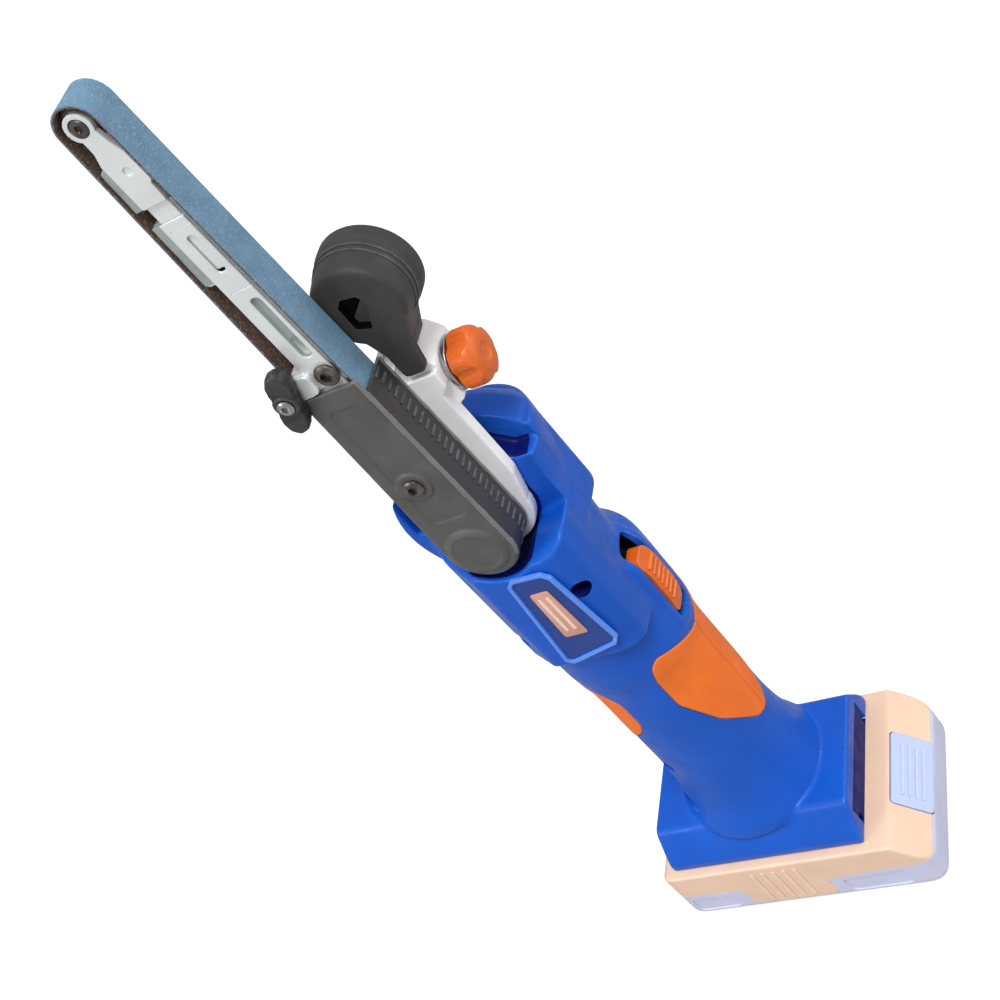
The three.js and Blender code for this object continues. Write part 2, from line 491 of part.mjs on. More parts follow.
const AXLE_R = 2.9;
function armFork() {
  const z0 = RAIL_Z1 + FORK_TRAVEL + GAP;
  const shank = block(SLEEVE.x0 + GAP, SLEEVE.x1 - GAP, SLEEVE.y0 + GAP, SLEEVE.y1 - GAP, 392, 436);
  const head = prismY(outline([[-4, z0], [5.5, z0], [5.7, 425.5], [6.7, 426.5], [6.4, 437], [5, 441], [4, 446],
    [-2.5, 446], [-2.6, 440], [-4, 436]]), ARM_Y0, ARM_Y1);
  const flange = prismY(outline([[-3, z0], [-3, 436], [-5.8, 436], [-6.1, z0]]), LOWER_EDGE.flangeY, ARM_Y1);
  const eyes = turnedY(disc(4.7, ARM_Y0, ARM_Y1), 0, IDLER_Z, 24);
  const rollerRoom = turnedY(disc(IDLER_R + 0.4, -26.9, -18.5), 0, IDLER_Z, 24);
  const tipRoom = block(-8, 8, -26.9, -18.5, IDLER_Z - 6, 470);
  const bore = turnedY(disc(AXLE_R + GAP, -40, 0), 0, IDLER_Z, FINE);
  return cut(join(shank, head, flange, eyes), rollerRoom, tipRoom, bore);
}
addPiece("arm_fork", armFork(), "armAlloy");
addPiece("idler_axle", turnedY(disc(AXLE_R, ARM_Y0 - 0.2, ARM_Y1), 0, IDLER_Z, FINE), "darkSteel");
addPiece("idler_roller", turnedY([[AXLE_R + GAP, -26.5], [6.2, -26.5], [IDLER_R - GAP, -24.5],
  [IDLER_R - GAP, -20.9], [6.2, -18.9], [AXLE_R + GAP, -18.9]], 0, IDLER_Z, 24), "darkSteel");

class Helix extends THREE.Curve {
  constructor(radius, z0, z1, turns) {
    super();
    Object.assign(this, { radius, z0, z1, turns });
  }

  getPoint(t) {
    const angle = 2 * Math.PI * this.turns * t;
    return new THREE.Vector3(this.radius * Math.cos(angle), this.radius * Math.sin(angle),
      this.z0 + (this.z1 - this.z0) * t);
  }
}
function tensionSpring() {
  const turns = 8;
  const wire = new THREE.Shape(lobedOutline(0.35, 0, 1, 5).map(([a, b]) => new THREE.Vector2(a, b)));
  const path = new Helix(2.3, 367, 391, turns);
  const coil = new THREE.ExtrudeGeometry(wire, { steps: turns * 10, extrudePath: path, bevelEnabled: false });
  return solid(coil).translate(0, BELT_Y, 0);
}
addPiece("tension_spring", tensionSpring(), "steel");

function belt() {
  const shape = beltLoop(BELT_THICK);
  shape.holes.push(beltLoop(0));
  return prismY(shape, BELT_Y - BELT_WIDTH / 2, BELT_Y + BELT_WIDTH / 2, FINE);
}
addPiece("abrasive_belt", belt(), "abrasive");

addPiece("pivot_screw", turnedY([[0, -31], [3.4, -31], [4.3, -30.2], [4.3, -29.2], [1.9, -29.2], [1.9, -22.3],
  [0, -22.3]], ...PIVOT, FINE), "darkSteel");

// ---- tracking knob: a small wing knob on a lug below the belt ----
function trackingKnob() {
  const wing = [];
  for (let i = 0; i < 32; i += 1) {
    const angle = (2 * Math.PI * i) / 32;
    const r = 4.6 + 8 * Math.cos(angle) ** 4;
    wing.push([r * Math.sin(angle) * 0.95, r * Math.cos(angle)]);
  }
  const [x, z] = TRACKING;
  const tilt = THREE.MathUtils.degToRad(-17);
  const turned = wing.map(([a, b]) => [x + a * Math.cos(tilt) - b * Math.sin(tilt),
    z + a * Math.sin(tilt) + b * Math.cos(tilt)]);
  return prismY(outline(turned), -36.6, -31.5).subtract(turnedY(disc(2.2, -40, -20), x, z, FINE));
}
addPiece("tracking_knob", trackingKnob(), "blackPlastic");
addPiece("tracking_screw", turnedY([[0, -38], [3, -38], [3, -36.9], [1.9, -36.9], [1.9, -29.6], [0, -29.6]],
  ...TRACKING, FINE), "steel");

// ---- belt cover: a plate over the drive wheel with a skirt round the belt ----
const COVER = { r: 13.7, wall: 1.2, front: 339, y0: -31.2, y1: HOLDER_Y - GAP, bossR: 11.4 };
function coverOutline(r) {
  const shape = new THREE.Shape();
  const half = r - (COVER.front - DRIVE_Z) * RUN_SLOPE;
  shape.moveTo(half, COVER.front);
  shape.lineTo(-half + 2, COVER.front);
  shape.lineTo(-half, COVER.front - 4);
  shape.absarc(0, DRIVE_Z, r, Math.PI, 2 * Math.PI);
  return shape;
}
function beltCover() {
  const full = prismY(coverOutline(COVER.r), COVER.y0, COVER.y1, FINE);
  const hollow = prismY(coverOutline(COVER.r - COVER.wall), COVER.y0 + 1.3, COVER.y1 + 1, FINE);
  const open = block(-30, 30, COVER.y0 + 1.3, COVER.y1 + 1, COVER.front - 6, COVER.front + 10);
  const boss = turnedY(disc(COVER.bossR, COVER.y0 - 1.6, COVER.y0 + 0.5), 0, DRIVE_Z);
  const bore = turnedY(disc(2.2, -40, -20), ...COVER_SCREW, FINE);
  return cut(join(full, boss), hollow, open, bore);
}
addPiece("belt_cover", beltCover(), "darkPlastic");
addPiece("cover_screw", turnedY([[0, -33], [2.8, -33], [3.8, -32.2], [3.8, -31.5], [1.9, -31.5], [1.9, -21.4],
  [0, -21.4]], ...COVER_SCREW, FINE), "darkSteel");

// ---- dust nozzle: a hose socket on -Y/+Y beside the belt, open to it through a mouth ----
const NOZZLE = { x: 18, z: 352, bore: 14.2 };
function dustNozzle() {
  const drum = turnedY([[0, -13.9], [15.2, -13.9], [15.6, -12], [17.2, 0], [17.6, 1], [17.6, 6.4], [0, 6.4]],
    NOZZLE.x, NOZZLE.z);
  const socket = turnedY(disc(NOZZLE.bore, -10.4, 10), NOZZLE.x, NOZZLE.z);
  const neckPlate = prismY(outline([[14, 321], [21.5, 321], [23.5, 323], [27.5, 342], [13, 350]]), -13.9, -11.3);
  const funnel = prismY(outline([[15, 327.5], [22, 327.5], [31.5, 345], [9, 345]]), -13.9, 1);
  const mouth = block(12.6, 22.4, -20, 5, 343.5, 354.5);
  return cut(join(drum, neckPlate, funnel), socket, mouth);
}
addPiece("dust_nozzle", dustNozzle(), "darkPlastic");

// ---- battery: a slide-on pack with one row of cells ----
function packBlock(z0, z1, inset, radius) {
  const { x0, x1, halfWidth } = BATTERY;
  const plan = rounded(x0 + inset, x1 - inset, -halfWidth + inset, halfWidth - inset, radius);
  return prismZ(plan, z0, z1);
}
const CELL = { r: 9.2, length: 65, pitch: 19, count: 5, z: 16 };
const cellRoom = (z0, z1) => block(-49, 49, -34, 34, z0, z1);
const END_SLOPE = { x: 61.5, z: 26.6, turn: 49 };
function onSlope(x0, x1, halfWidth, z0, z1) {
  return block(x0, x1, -halfWidth, halfWidth, z0, z1).rotate([0, END_SLOPE.turn, 0])
    .translate(END_SLOPE.x, 0, END_SLOPE.z);
}
function packTop() {
  const side = outline([[-53.3, BATTERY.split + GAP], [68.3, BATTERY.split + GAP], [68.3, 19], [54.6, 34.7],
    [-49.5, 34.7], [-53.3, 31]]);
  const shell = packBlock(BATTERY.split + GAP, BATTERY.top, 0, 8).intersect(prismY(side, -50, 50));
  const tower = block(-33.5, 44, -26, 26, BATTERY.top - 1, 47);
  const grooves = [-1, 1].map((side_) => block(-40, 60, side_ > 0 ? 23.1 : -30, side_ > 0 ? 30 : -23.1, BATTERY.top,
    40.2));
  const blades = [-1, 1].map((side_) => block(-40, -22, side_ * BLADE_Y - 1, side_ * BLADE_Y + 1, 41.4, 46.2));
  const buttonRoom = onSlope(-10.2, 10.2, 17.6, -6.6, 20);
  return cut(join(shell, tower), cellRoom(0, 31), ...grooves, ...blades, buttonRoom);
}
addPiece("battery_top_case", packTop(), "packPeach");
function packBottom() {
  const foot_ = packBlock(0, 3, 2.2, 7);
  return cut(join(foot_, packBlock(2.9, BATTERY.split, 0, 8)), cellRoom(2.6, 20));
}
addPiece("battery_bottom_case", packBottom(), "packLavender");
addPiece("battery_button", onSlope(-9.8, 9.8, 17.2, -3.2, 0.9), "packLavender");
for (let i = 0; i < CELL.count; i += 1) {
  const x = (i - (CELL.count - 1) / 2) * CELL.pitch;
  const cell = turnedY(disc(CELL.r, -CELL.length / 2, CELL.length / 2), x, CELL.z, 20);
  addPiece(`battery_cell_${i + 1}`, cell, "cellSleeve");
}

export default sander;
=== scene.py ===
"""A cordless narrow-belt sander standing on its battery, in a plain studio.

Pieces are made in millimetres.
"""

import math

import bpy
import bmesh
from mathutils import Matrix, Vector


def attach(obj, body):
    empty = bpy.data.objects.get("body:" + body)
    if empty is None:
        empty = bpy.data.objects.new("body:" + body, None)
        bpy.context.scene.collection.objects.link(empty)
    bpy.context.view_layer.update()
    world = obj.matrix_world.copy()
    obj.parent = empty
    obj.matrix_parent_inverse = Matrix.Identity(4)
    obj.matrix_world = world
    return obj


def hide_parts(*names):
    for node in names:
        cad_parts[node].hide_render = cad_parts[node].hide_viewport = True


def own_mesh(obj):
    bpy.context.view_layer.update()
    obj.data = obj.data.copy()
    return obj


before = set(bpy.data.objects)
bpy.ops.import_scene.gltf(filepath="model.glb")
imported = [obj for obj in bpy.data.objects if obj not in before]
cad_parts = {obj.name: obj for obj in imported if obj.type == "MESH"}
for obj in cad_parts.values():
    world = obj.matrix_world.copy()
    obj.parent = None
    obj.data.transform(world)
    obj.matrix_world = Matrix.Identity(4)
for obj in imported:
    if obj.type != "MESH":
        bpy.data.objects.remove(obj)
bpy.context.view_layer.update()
MM = 0.001
PI = math.pi

# ---- camera, floor and lights
scene = bpy.context.scene
CAMERA_LENS = 54.11
CAMERA_PLACE = Vector((279.9, -347.1, 557.8)) * MM
CAMERA_RIGHT = Vector((0.81447, 0.16392, -0.55657))
CAMERA_UP = Vector((0.26042, 0.75392, 0.60315))


def make_camera():
    data = bpy.data.cameras.new("camera")
    data.lens = CAMERA_LENS
    data.sensor_width = 36
    data.clip_start = 0.01
    camera = bpy.data.objects.new("camera", data)
    axes = Matrix((CAMERA_RIGHT, CAMERA_UP, CAMERA_RIGHT.cross(CAMERA_UP))).transposed().to_4x4()
    camera.matrix_world = Matrix.Translation(CAMERA_PLACE) @ axes
    scene.collection.objects.link(camera)
    scene.camera = camera


def area_light(name, place, target, size, power):
    data = bpy.data.lights.new(name, "AREA")
    data.shape = "DISK"
    data.size = size
    data.energy = power
    light = bpy.data.objects.new(name, data)
    light.location = place
    aim = Vector(target) - Vector(place)
    light.rotation_euler = aim.to_track_quat("-Z", "Y").to_euler()
    scene.collection.objects.link(light)


def node_material(name):
    material = bpy.data.materials.new(name)
    material.use_nodes = True
    return material, material.node_tree.nodes, material.node_tree.links


def new_node(nodes, kind, **values):
    """A shader node with its inputs set; an underscore stands for the space in an input's name."""
    made = nodes.new(kind)
    for name, value in values.items():
        made.inputs[name.replace("_", " ")].default_value = value
    return made


FLOOR_HALF = 6.0
FLOOR_GLOW = 0.72
FLOOR_PALE = (0.4, 0.4, 0.4, 1)
FLOOR_BOUNCE = (0.42, 0.42, 0.43, 1)
SKY_GLOW = 0.46


def make_stage():
    mesh = bpy.data.meshes.new("floor")
    corners = [(x * FLOOR_HALF, y * FLOOR_HALF, 0) for x, y in ((-1, -1), (1, -1), (1, 1), (-1, 1))]
    mesh.from_pydata(corners, [], [(0, 1, 2, 3)])
    floor = bpy.data.objects.new("floor", mesh)
    scene.collection.objects.link(floor)
    material, nodes, links = node_material("studio_floor")
    nodes.remove(nodes["Principled BSDF"])
    seen = nodes.new("ShaderNodeAddShader")
    glow = new_node(nodes, "ShaderNodeEmission", Color=(1, 1, 1, 1), Strength=FLOOR_GLOW)
    pale = new_node(nodes, "ShaderNodeBsdfDiffuse", Color=FLOOR_PALE)
    bounce = new_node(nodes, "ShaderNodeBsdfDiffuse", Color=FLOOR_BOUNCE)
    links.new(glow.outputs[0], seen.inputs[0])
    links.new(pale.outputs[0], seen.inputs[1])
    chosen = nodes.new("ShaderNodeMixShader")
    links.new(nodes.new("ShaderNodeLightPath").outputs["Is Camera Ray"], chosen.inputs[0])
    links.new(bounce.outputs[0], chosen.inputs[1])
    links.new(seen.outputs[0], chosen.inputs[2])
    links.new(chosen.outputs[0], nodes["Material Output"].inputs["Surface"])
    floor.data.materials.append(material)
    world = bpy.data.worlds.new("studio")
    world.use_nodes = True
    sky = world.node_tree.nodes["Background"].inputs
    sky["Color"].default_value = (1.0, 1.0, 1.0, 1)
    sky["Strength"].default_value = SKY_GLOW
    scene.world = world
    scene.view_settings.view_transform = "Standard"
    scene.view_settings.look = "None"
    scene.view_settings.exposure = 0


def sun_light(name, towards, strength, spread):
    data = bpy.data.lights.new(name, "SUN")
    data.energy = strength
    data.angle = math.radians(spread)
    light = bpy.data.objects.new(name, data)
    light.rotation_euler = (-Vector(towards)).to_track_quat("-Z", "Y").to_euler()
    scene.collection.objects.link(light)


def make_lights():
    middle = (0.0, 0.0, 0.24)
    sun_light("overhead_softbox", (0.3, -0.4, 1.0), 2.15, 24)
    area_light("left_strip", (-0.9, -1.1, 1.0), middle, 0.7, 7)
    area_light("right_rim", (1.0, 0.5, 0.5), middle, 0.6, 3)


make_camera()
make_stage()
make_lights()

# ---- shape helpers (millimetres)
def object_of(bm):
    bmesh.ops.remove_doubles(bm, verts=bm.verts, dist=1e-4)
    bmesh.ops.recalc_face_normals(bm, faces=bm.faces)
    mesh = bpy.data.meshes.new("work")
    bm.to_mesh(mesh)
    bm.free()
    made = bpy.data.objects.new("work", mesh)
    scene.collection.objects.link(made)
    return made


def placed(axis, centre, a, b, along):
    """A point with a and b across the axis and `along` on it."""
    x, y, z = centre
    if axis == "Z":
        return (x + a, y + b, z + along)
    if axis == "Y":
        return (x + a, y + along, z + b)
    return (x + along, y + a, z + b)


def turned(profile, axis="Z", centre=(0, 0, 0), n=72):
    """A closed (radius, height) outline turned about an axis."""
    bm = bmesh.new()
    rings = []
    for r, h in profile:
        if r < 1e-6:
            rings.append([bm.verts.new(placed(axis, centre, 0, 0, h))])
        else:
            circle = ((r * math.cos(2 * PI * i / n), r * math.sin(2 * PI * i / n)) for i in range(n))
            rings.append([bm.verts.new(placed(axis, centre, a, b, h)) for a, b in circle])
    pairs = list(zip(rings, rings[1:]))
    if len(rings[0]) > 1 and len(rings[-1]) > 1:
        pairs.append((rings[-1], rings[0]))
    for low, high in pairs:
        if len(low) > 1 and len(high) > 1:
            skin(bm, low, high)
        elif len(low) > 1:
            for i in range(n):
                bm.faces.new((low[i], low[(i + 1) % n], high[0]))
        elif len(high) > 1:
            for i in range(n):
                bm.faces.new((low[0], high[(i + 1) % n], high[i]))
    return object_of(bm)


def disc(r, h0, h1, axis, centre, n=48):
    return turned([(0, h0), (r, h0), (r, h1), (0, h1)], axis, centre, n)


def pin(r, y0, y1, x, z, n=48):
    return disc(r, y0, y1, "Y", (x, 0, z), n)


def ring(r0, r1, h0, h1, axis, centre, n=64):
    return turned([(r0, h0), (r1, h0), (r1, h1), (r0, h1)], axis, centre, n)


def skin(bm, low, high):
    """Faces between two closed rings with equal numbers of points."""
    n = len(low)
    for i in range(n):
        k = (i + 1) % n
        bm.faces.new((low[i], low[k], high[k], high[i]))


def stack(sections, axis):
    """Outlines with equal numbers of points, each at its height along the axis, skinned one to the next."""
    bm = bmesh.new()
    rings = [[bm.verts.new(placed(axis, (0, 0, 0), a, b, h)) for a, b in outline]
             for outline, h in sections]
    bm.faces.new(rings[0][::-1])
    bm.faces.new(rings[-1])
    for low, high in zip(rings, rings[1:]):
        skin(bm, low, high)
    return object_of(bm)


def prism(outline, axis, h0, h1):
    """An outline of (a, b) points across the axis, pulled along it from h0 to h1."""
    return stack([(outline, h0), (outline, h1)], axis)


def block(x0, x1, y0, y1, z0, z1):
    return prism([(x0, y0), (x1, y0), (x1, y1), (x0, y1)], "Z", z0, z1)


def eased(points, radius, steps=6):
    """The outline with its corners rounded."""
    out = []
    n = len(points)
    for i in range(n):
        p, a, b = Vector(points[i]), Vector(points[i - 1]), Vector(points[(i + 1) % n])
        to_a, to_b = (a - p), (b - p)
        cosine = max(-1.0, min(1.0, to_a.normalized().dot(to_b.normalized())))
        half = math.acos(cosine) / 2
        if half > PI / 2 - 0.02:
            out.append(tuple(p))
            continue
        reach = min(radius / math.tan(half), to_a.length * 0.48, to_b.length * 0.48)
        start, end = p + to_a.normalized() * reach, p + to_b.normalized() * reach
        for k in range(steps + 1):
            t = k / steps
            out.append(tuple(start * (1 - t) ** 2 + p * 2 * t * (1 - t) + end * t * t))
    return out


def side_block(side, x0, x1, near, far, z0, z1):
    """A block from `near` to `far` out from the seam, on the left (-1) or on the right (1)."""
    return block(x0, x1, *sorted((side * near, side * far)), z0, z1)


def rounded(x0, x1, y0, y1, radius, steps=8):
    return eased([(x0, y0), (x1, y0), (x1, y1), (x0, y1)], radius, steps)


def flowing(points, per):
    """Points on a smooth curve through the given ones."""
    n = len(points)
    out = []
    for i in range(n - 1):
        a, b, c, d = (Vector(points[max(0, min(n - 1, i + k))]) for k in (-1, 0, 1, 2))
        for k in range(per):
            t = k / per
            out.append(tuple(0.5 * (2 * b + (c - a) * t + (2 * a - 5 * b + 4 * c - d) * t * t
                                    + (3 * b - a - 3 * c + d) * t ** 3)))
    out.append(tuple(points[-1]))
    return out


def baked(work):
    """The object with its modifiers applied."""
    graph = bpy.context.evaluated_depsgraph_get()
    mesh = bpy.data.meshes.new_from_object(work.evaluated_get(graph))
    work.modifiers.clear()
    old, work.data = work.data, mesh
    bpy.data.meshes.remove(old)
    return work


def combined(work, tools, operation):
    for tool in tools:
        step = work.modifiers.new("solid", "BOOLEAN")
        step.operation = operation
        step.solver = "MANIFOLD"
        step.object = tool
        baked(work)
        mesh = tool.data
        bpy.data.objects.remove(tool)
        if mesh.users == 0:
            bpy.data.meshes.remove(mesh)
    return work


def join(work, *tools):
    return combined(work, tools, "UNION")


def cut(work, *tools):
    return combined(work, tools, "DIFFERENCE")


def within(work, *tools):
    return combined(work, tools, "INTERSECT")


def copied(work):
    twin = work.copy()
    twin.data = work.data.copy()
    scene.collection.objects.link(twin)
    return twin


def softened(work, voxel, passes=3, factor=0.5):
    """Edges and inner corners rounded as on a moulded or cast piece."""
    grid = work.modifiers.new("grid", "REMESH")
    grid.mode = "VOXEL"
    grid.voxel_size = voxel
    grid.adaptivity = 0
    grid.use_smooth_shade = True
    smooth = work.modifiers.new("smooth", "SMOOTH")
    smooth.factor = factor
    smooth.iterations = passes
    return baked(work)


BEVEL_FROM = 32


def bevelled(work, width, segments=2):
    """Edges sharper than BEVEL_FROM degrees rounded off."""
    edge = work.modifiers.new("edge", "BEVEL")
    edge.width = width
    edge.segments = segments
    edge.limit_method = "ANGLE"
    edge.angle_limit = math.radians(BEVEL_FROM)
    edge.harden_normals = False
    edge.use_clamp_overlap = True
    return baked(work)


def tidied(work, reach):
    """The object without the slivers that booleans leave."""
    bm = bmesh.new()
    bm.from_mesh(work.data)
    bmesh.ops.remove_doubles(bm, verts=bm.verts, dist=reach)
    bmesh.ops.dissolve_degenerate(bm, edges=bm.edges, dist=reach)
    bm.to_mesh(work.data)
    bm.free()
    return work


def mirrored(work):
    work.data.transform(Matrix.Scale(-1, 4, (0, 1, 0)))
    work.data.flip_normals()
    return work


def turned_by(work, degrees, axis):
    work.data.transform(Matrix.Rotation(math.radians(degrees), 4, axis))
    return work


def moved(work, x, y, z):
    work.data.transform(Matrix.Translation((x, y, z)))
    return work


def shaded(work, angle=38):
    """Smooth faces with crisp edges where the surface turns sharply."""
    bm = bmesh.new()
    bm.from_mesh(work.data)
    limit = math.radians(angle)
    for face in bm.faces:
        face.smooth = True
    for edge in bm.edges:
        edge.smooth = len(edge.link_faces) == 2 and edge.calc_face_angle(0) < limit
    bm.to_mesh(work.data)
    bm.free()
    return work


def heap(*works):
    """Separate solids held as one object, for one cut or join, or for softened() to grow together."""
    bm = bmesh.new()
    for work in works:
        bm.from_mesh(work.data)
        mesh = work.data
        bpy.data.objects.remove(work)
        bpy.data.meshes.remove(mesh)
    mesh = bpy.data.meshes.new("heap")
    bm.to_mesh(mesh)
    bm.free()
    made = bpy.data.objects.new("heap", mesh)
    scene.collection.objects.link(made)
    return made


def inset(points, depth):
    """A convex outline moved inwards by `depth` on every side."""
    middle = Vector((sum(p[0] for p in points), sum(p[1] for p in points))) / len(points)
    n = len(points)
    lines = []
    for i in range(n):
        a, b = Vector(points[i]), Vector(points[(i + 1) % n])
        normal = Vector((-(b - a).y, (b - a).x)).normalized()
        if normal.dot(middle - a) < 0:
            normal.negate()
        lines.append((a + normal * depth, (b - a)))
    out = []
    for i in range(n):
        (p, d), (q, e) = lines[i - 1], lines[i]
        across = d.x * e.y - d.y * e.x
        t = ((q - p).x * e.y - (q - p).y * e.x) / across
        out.append(tuple(p + d * t))
    return out


def piece(name, work, material, body, nodes=(), angle=38, painted_light_faces=()):
    """Hands over a finished piece: into metres, finished, named, and riding on its body.

    painted_light_faces: (material, test) pairs for the faces given painted shade and painted highlights; a
    test gets the face's centre in millimetres, as x, y and z, and its normal.
    """
    shaded(work, angle)
    work.name = name
    work.data.name = name
    work.data.materials.clear()
    work.data.materials.append(material)
    for painted_look, _ in painted_light_faces:
        work.data.materials.append(painted_look)
    for face in work.data.polygons:
        face.material_index = 0
        for number, (_, test) in enumerate(painted_light_faces, 1):
            if test(*face.center, face.normal):
                face.material_index = number
                break
    work.data.transform(Matrix.Scale(MM, 4))
    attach(work, body)
    if nodes:
        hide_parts(*nodes)
    return work


# ---- materials
def linear(colour):
    """Display values from 0 to 255 as a shader's linear colour."""
    shares = [v / 255 for v in colour]
    return tuple(v / 12.92 if v <= 0.04045 else ((v + 0.055) / 1.055) ** 2.4 for v in shares) + (1.0,)


def scaled(colour, k):
    return tuple(min(1.0, c * k) for c in colour[:3]) + (1.0,)


def noise(nodes, links, coords, size, detail=3.0, stretch=None):
    """Noise whose blobs are about `size` millimetres across."""
    made = new_node(nodes, "ShaderNodeTexNoise", Scale=1000.0 / size, Detail=detail, Roughness=0.55)
    if stretch:
        shape = new_node(nodes, "ShaderNodeMapping", Scale=stretch)
        links.new(coords, shape.inputs["Vector"])
        coords = shape.outputs["Vector"]
    links.new(coords, made.inputs["Vector"])
    return made.outputs["Fac"]


def ramp(nodes, links, value, low, high, out_low=0.0, out_high=1.0):
    made = new_node(nodes, "ShaderNodeMapRange", From_Min=low, From_Max=high, To_Min=out_low,
                    To_Max=out_high)
    links.new(value, made.inputs["Value"])
    return made.outputs["Result"]


def blended(nodes, links, factor, a, b):
    made = nodes.new("ShaderNodeMix")
    made.data_type = "RGBA"
    for socket, value in ((made.inputs[6], a), (made.inputs[7], b)):
        if isinstance(value, tuple):
            socket.default_value = value
        else:
            links.new(value, socket)
    links.new(factor, made.inputs[0])
    return made.outputs[2]


def multiplied(nodes, links, a, b):
    made = nodes.new("ShaderNodeMath")
    made.operation = "MULTIPLY"
    links.new(a, made.inputs[0])
    links.new(b, made.inputs[1])
    return made.outputs[0]


def surface(name, colour, rough, metallic=0.0, mottle=(22, 0.12), grain=(0.6, 0.02), rough_spread=0.12,
            wear_and_highlight=None, brushed=None, coat=0.0, specks=None, specular=0.5, dots=None):
    """A moulded, cast, ground or coated surface.

    mottle: (size in mm, share) of slow colour change.  grain: (size in mm, depth in mm) of the texture.
    wear_and_highlight: (colour, share) along raised edges, partly edge wear and partly a painted highlight.
    brushed: stretch of fine lines.
    specks: (size in mm, colour, share) of coloured grains.
    dots: (pitch in mm, depth in mm) of a moulded pimple pattern.
    """
    material, nodes, links = node_material(name)
    shader = nodes["Principled BSDF"]
    shader.inputs["Metallic"].default_value = metallic
    shader.inputs["Specular IOR Level"].default_value = specular
    colour = linear(colour)
    if coat:
        shader.inputs["Coat Weight"].default_value = coat
        shader.inputs["Coat Roughness"].default_value = 0.2
    coords = nodes.new("ShaderNodeTexCoord").outputs["Object"]
    size, share = mottle
    slow = ramp(nodes, links, noise(nodes, links, coords, size), 0.3, 0.7)
    tone = blended(nodes, links, slow, scaled(colour, 1 - share), scaled(colour, 1 + share))
    fine = noise(nodes, links, coords, grain[0], 2.0, stretch=brushed)
    if specks:
        speck_size, speck_colour, speck_share = specks
        spots = noise(nodes, links, coords, speck_size, 1.0)
        edge = 0.72 - 0.3 * speck_share
        tone = blended(nodes, links, ramp(nodes, links, spots, edge, edge + 0.06), tone,
                       linear(speck_colour))
    # raised edges lightened: partly edge wear, partly a painted highlight where edges catch the light
    if wear_and_highlight:
        wear_highlight_colour, wear_highlight_share = wear_and_highlight
        edges = ramp(nodes, links, nodes.new("ShaderNodeNewGeometry").outputs["Pointiness"], 0.515, 0.57)
        patches = ramp(nodes, links, noise(nodes, links, coords, 3.0, 4.0), 0.35, 0.65, 0.15, wear_highlight_share)
        tone = blended(nodes, links, multiplied(nodes, links, edges, patches), tone, linear(wear_highlight_colour))
    links.new(tone, shader.inputs["Base Color"])
    smudges = noise(nodes, links, coords, 9.0, 4.0)
    links.new(ramp(nodes, links, smudges, 0.3, 0.7, max(0.05, rough - rough_spread), rough + rough_spread),
              shader.inputs["Roughness"])
    bump = new_node(nodes, "ShaderNodeBump", Strength=0.6, Distance=grain[1] * MM * 2)
    links.new(fine, bump.inputs["Height"])
    normal = bump.outputs["Normal"]
    if dots:
        cells = new_node(nodes, "ShaderNodeTexVoronoi", Scale=1000.0 / dots[0], Randomness=0.15)
        links.new(coords, cells.inputs["Vector"])
        heads = ramp(nodes, links, cells.outputs["Distance"], 0.15, 0.5, 1.0, 0.0)
        second = new_node(nodes, "ShaderNodeBump", Strength=0.7, Distance=dots[1] * MM)
        links.new(heads, second.inputs["Height"])
        links.new(normal, second.inputs["Normal"])
        normal = second.outputs["Normal"]
    links.new(normal, shader.inputs["Normal"])
    return material


# BLUE's lighter raised edges are a painted highlight as well as wear
BLUE = surface("blue_plastic", (14, 86, 194), 0.4, mottle=(30, 0.1), grain=(0.5, 0.02),
               wear_and_highlight=((60, 140, 245), 0.5), coat=0.05, specular=0.28)
# navy for the battery rail tower; on the blue housing it is painted shade in the recesses
NAVY_AND_PAINTED_SHADE = surface("navy_plastic_and_painted_shade", (4, 16, 96), 0.5, mottle=(12, 0.12), grain=(0.5, 0.03), specular=0.2)
# a darker copy of the arm alloy: painted shade for the arm's slots and set-back flanges
PAINTED_ARM_SHADE = surface("arm_painted_shade", (156, 166, 163), 0.55, metallic=0.2, mottle=(5, 0.12), grain=(0.4, 0.04))
# lighter grey along the cover's rims: a painted highlight
COVER_EDGE_HIGHLIGHT = surface("cover_edge_painted_highlight", (122, 119, 119), 0.45, mottle=(9, 0.12), grain=(0.45, 0.03))
NOZZLE_GREY = surface("nozzle_plastic", (60, 59, 58), 0.55, mottle=(12, 0.14), grain=(0.45, 0.05),
                      wear_and_highlight=((120, 118, 116), 0.45), specular=0.35)
ORANGE = surface("orange_rubber", (250, 118, 24), 0.62, mottle=(14, 0.08), grain=(0.5, 0.05),
                 dots=(1.3, 0.12), wear_and_highlight=((255, 150, 80), 0.4))
ORANGE_HARD = surface("orange_plastic", (224, 102, 20), 0.42, mottle=(10, 0.1), grain=(0.5, 0.02),
                      wear_and_highlight=((255, 165, 95), 0.5))
DARK = surface("dark_grey_plastic", (84, 82, 80), 0.5, mottle=(12, 0.16), grain=(0.45, 0.05),
               wear_and_highlight=((150, 148, 145), 0.55))
# darker grey for the cover's skirt: painted shade
COVER_SKIRT_SHADE = surface("cover_skirt_painted_shade", (52, 52, 56), 0.42, mottle=(9, 0.16), grain=(0.45, 0.04),
                      wear_and_highlight=((112, 114, 118), 0.6))
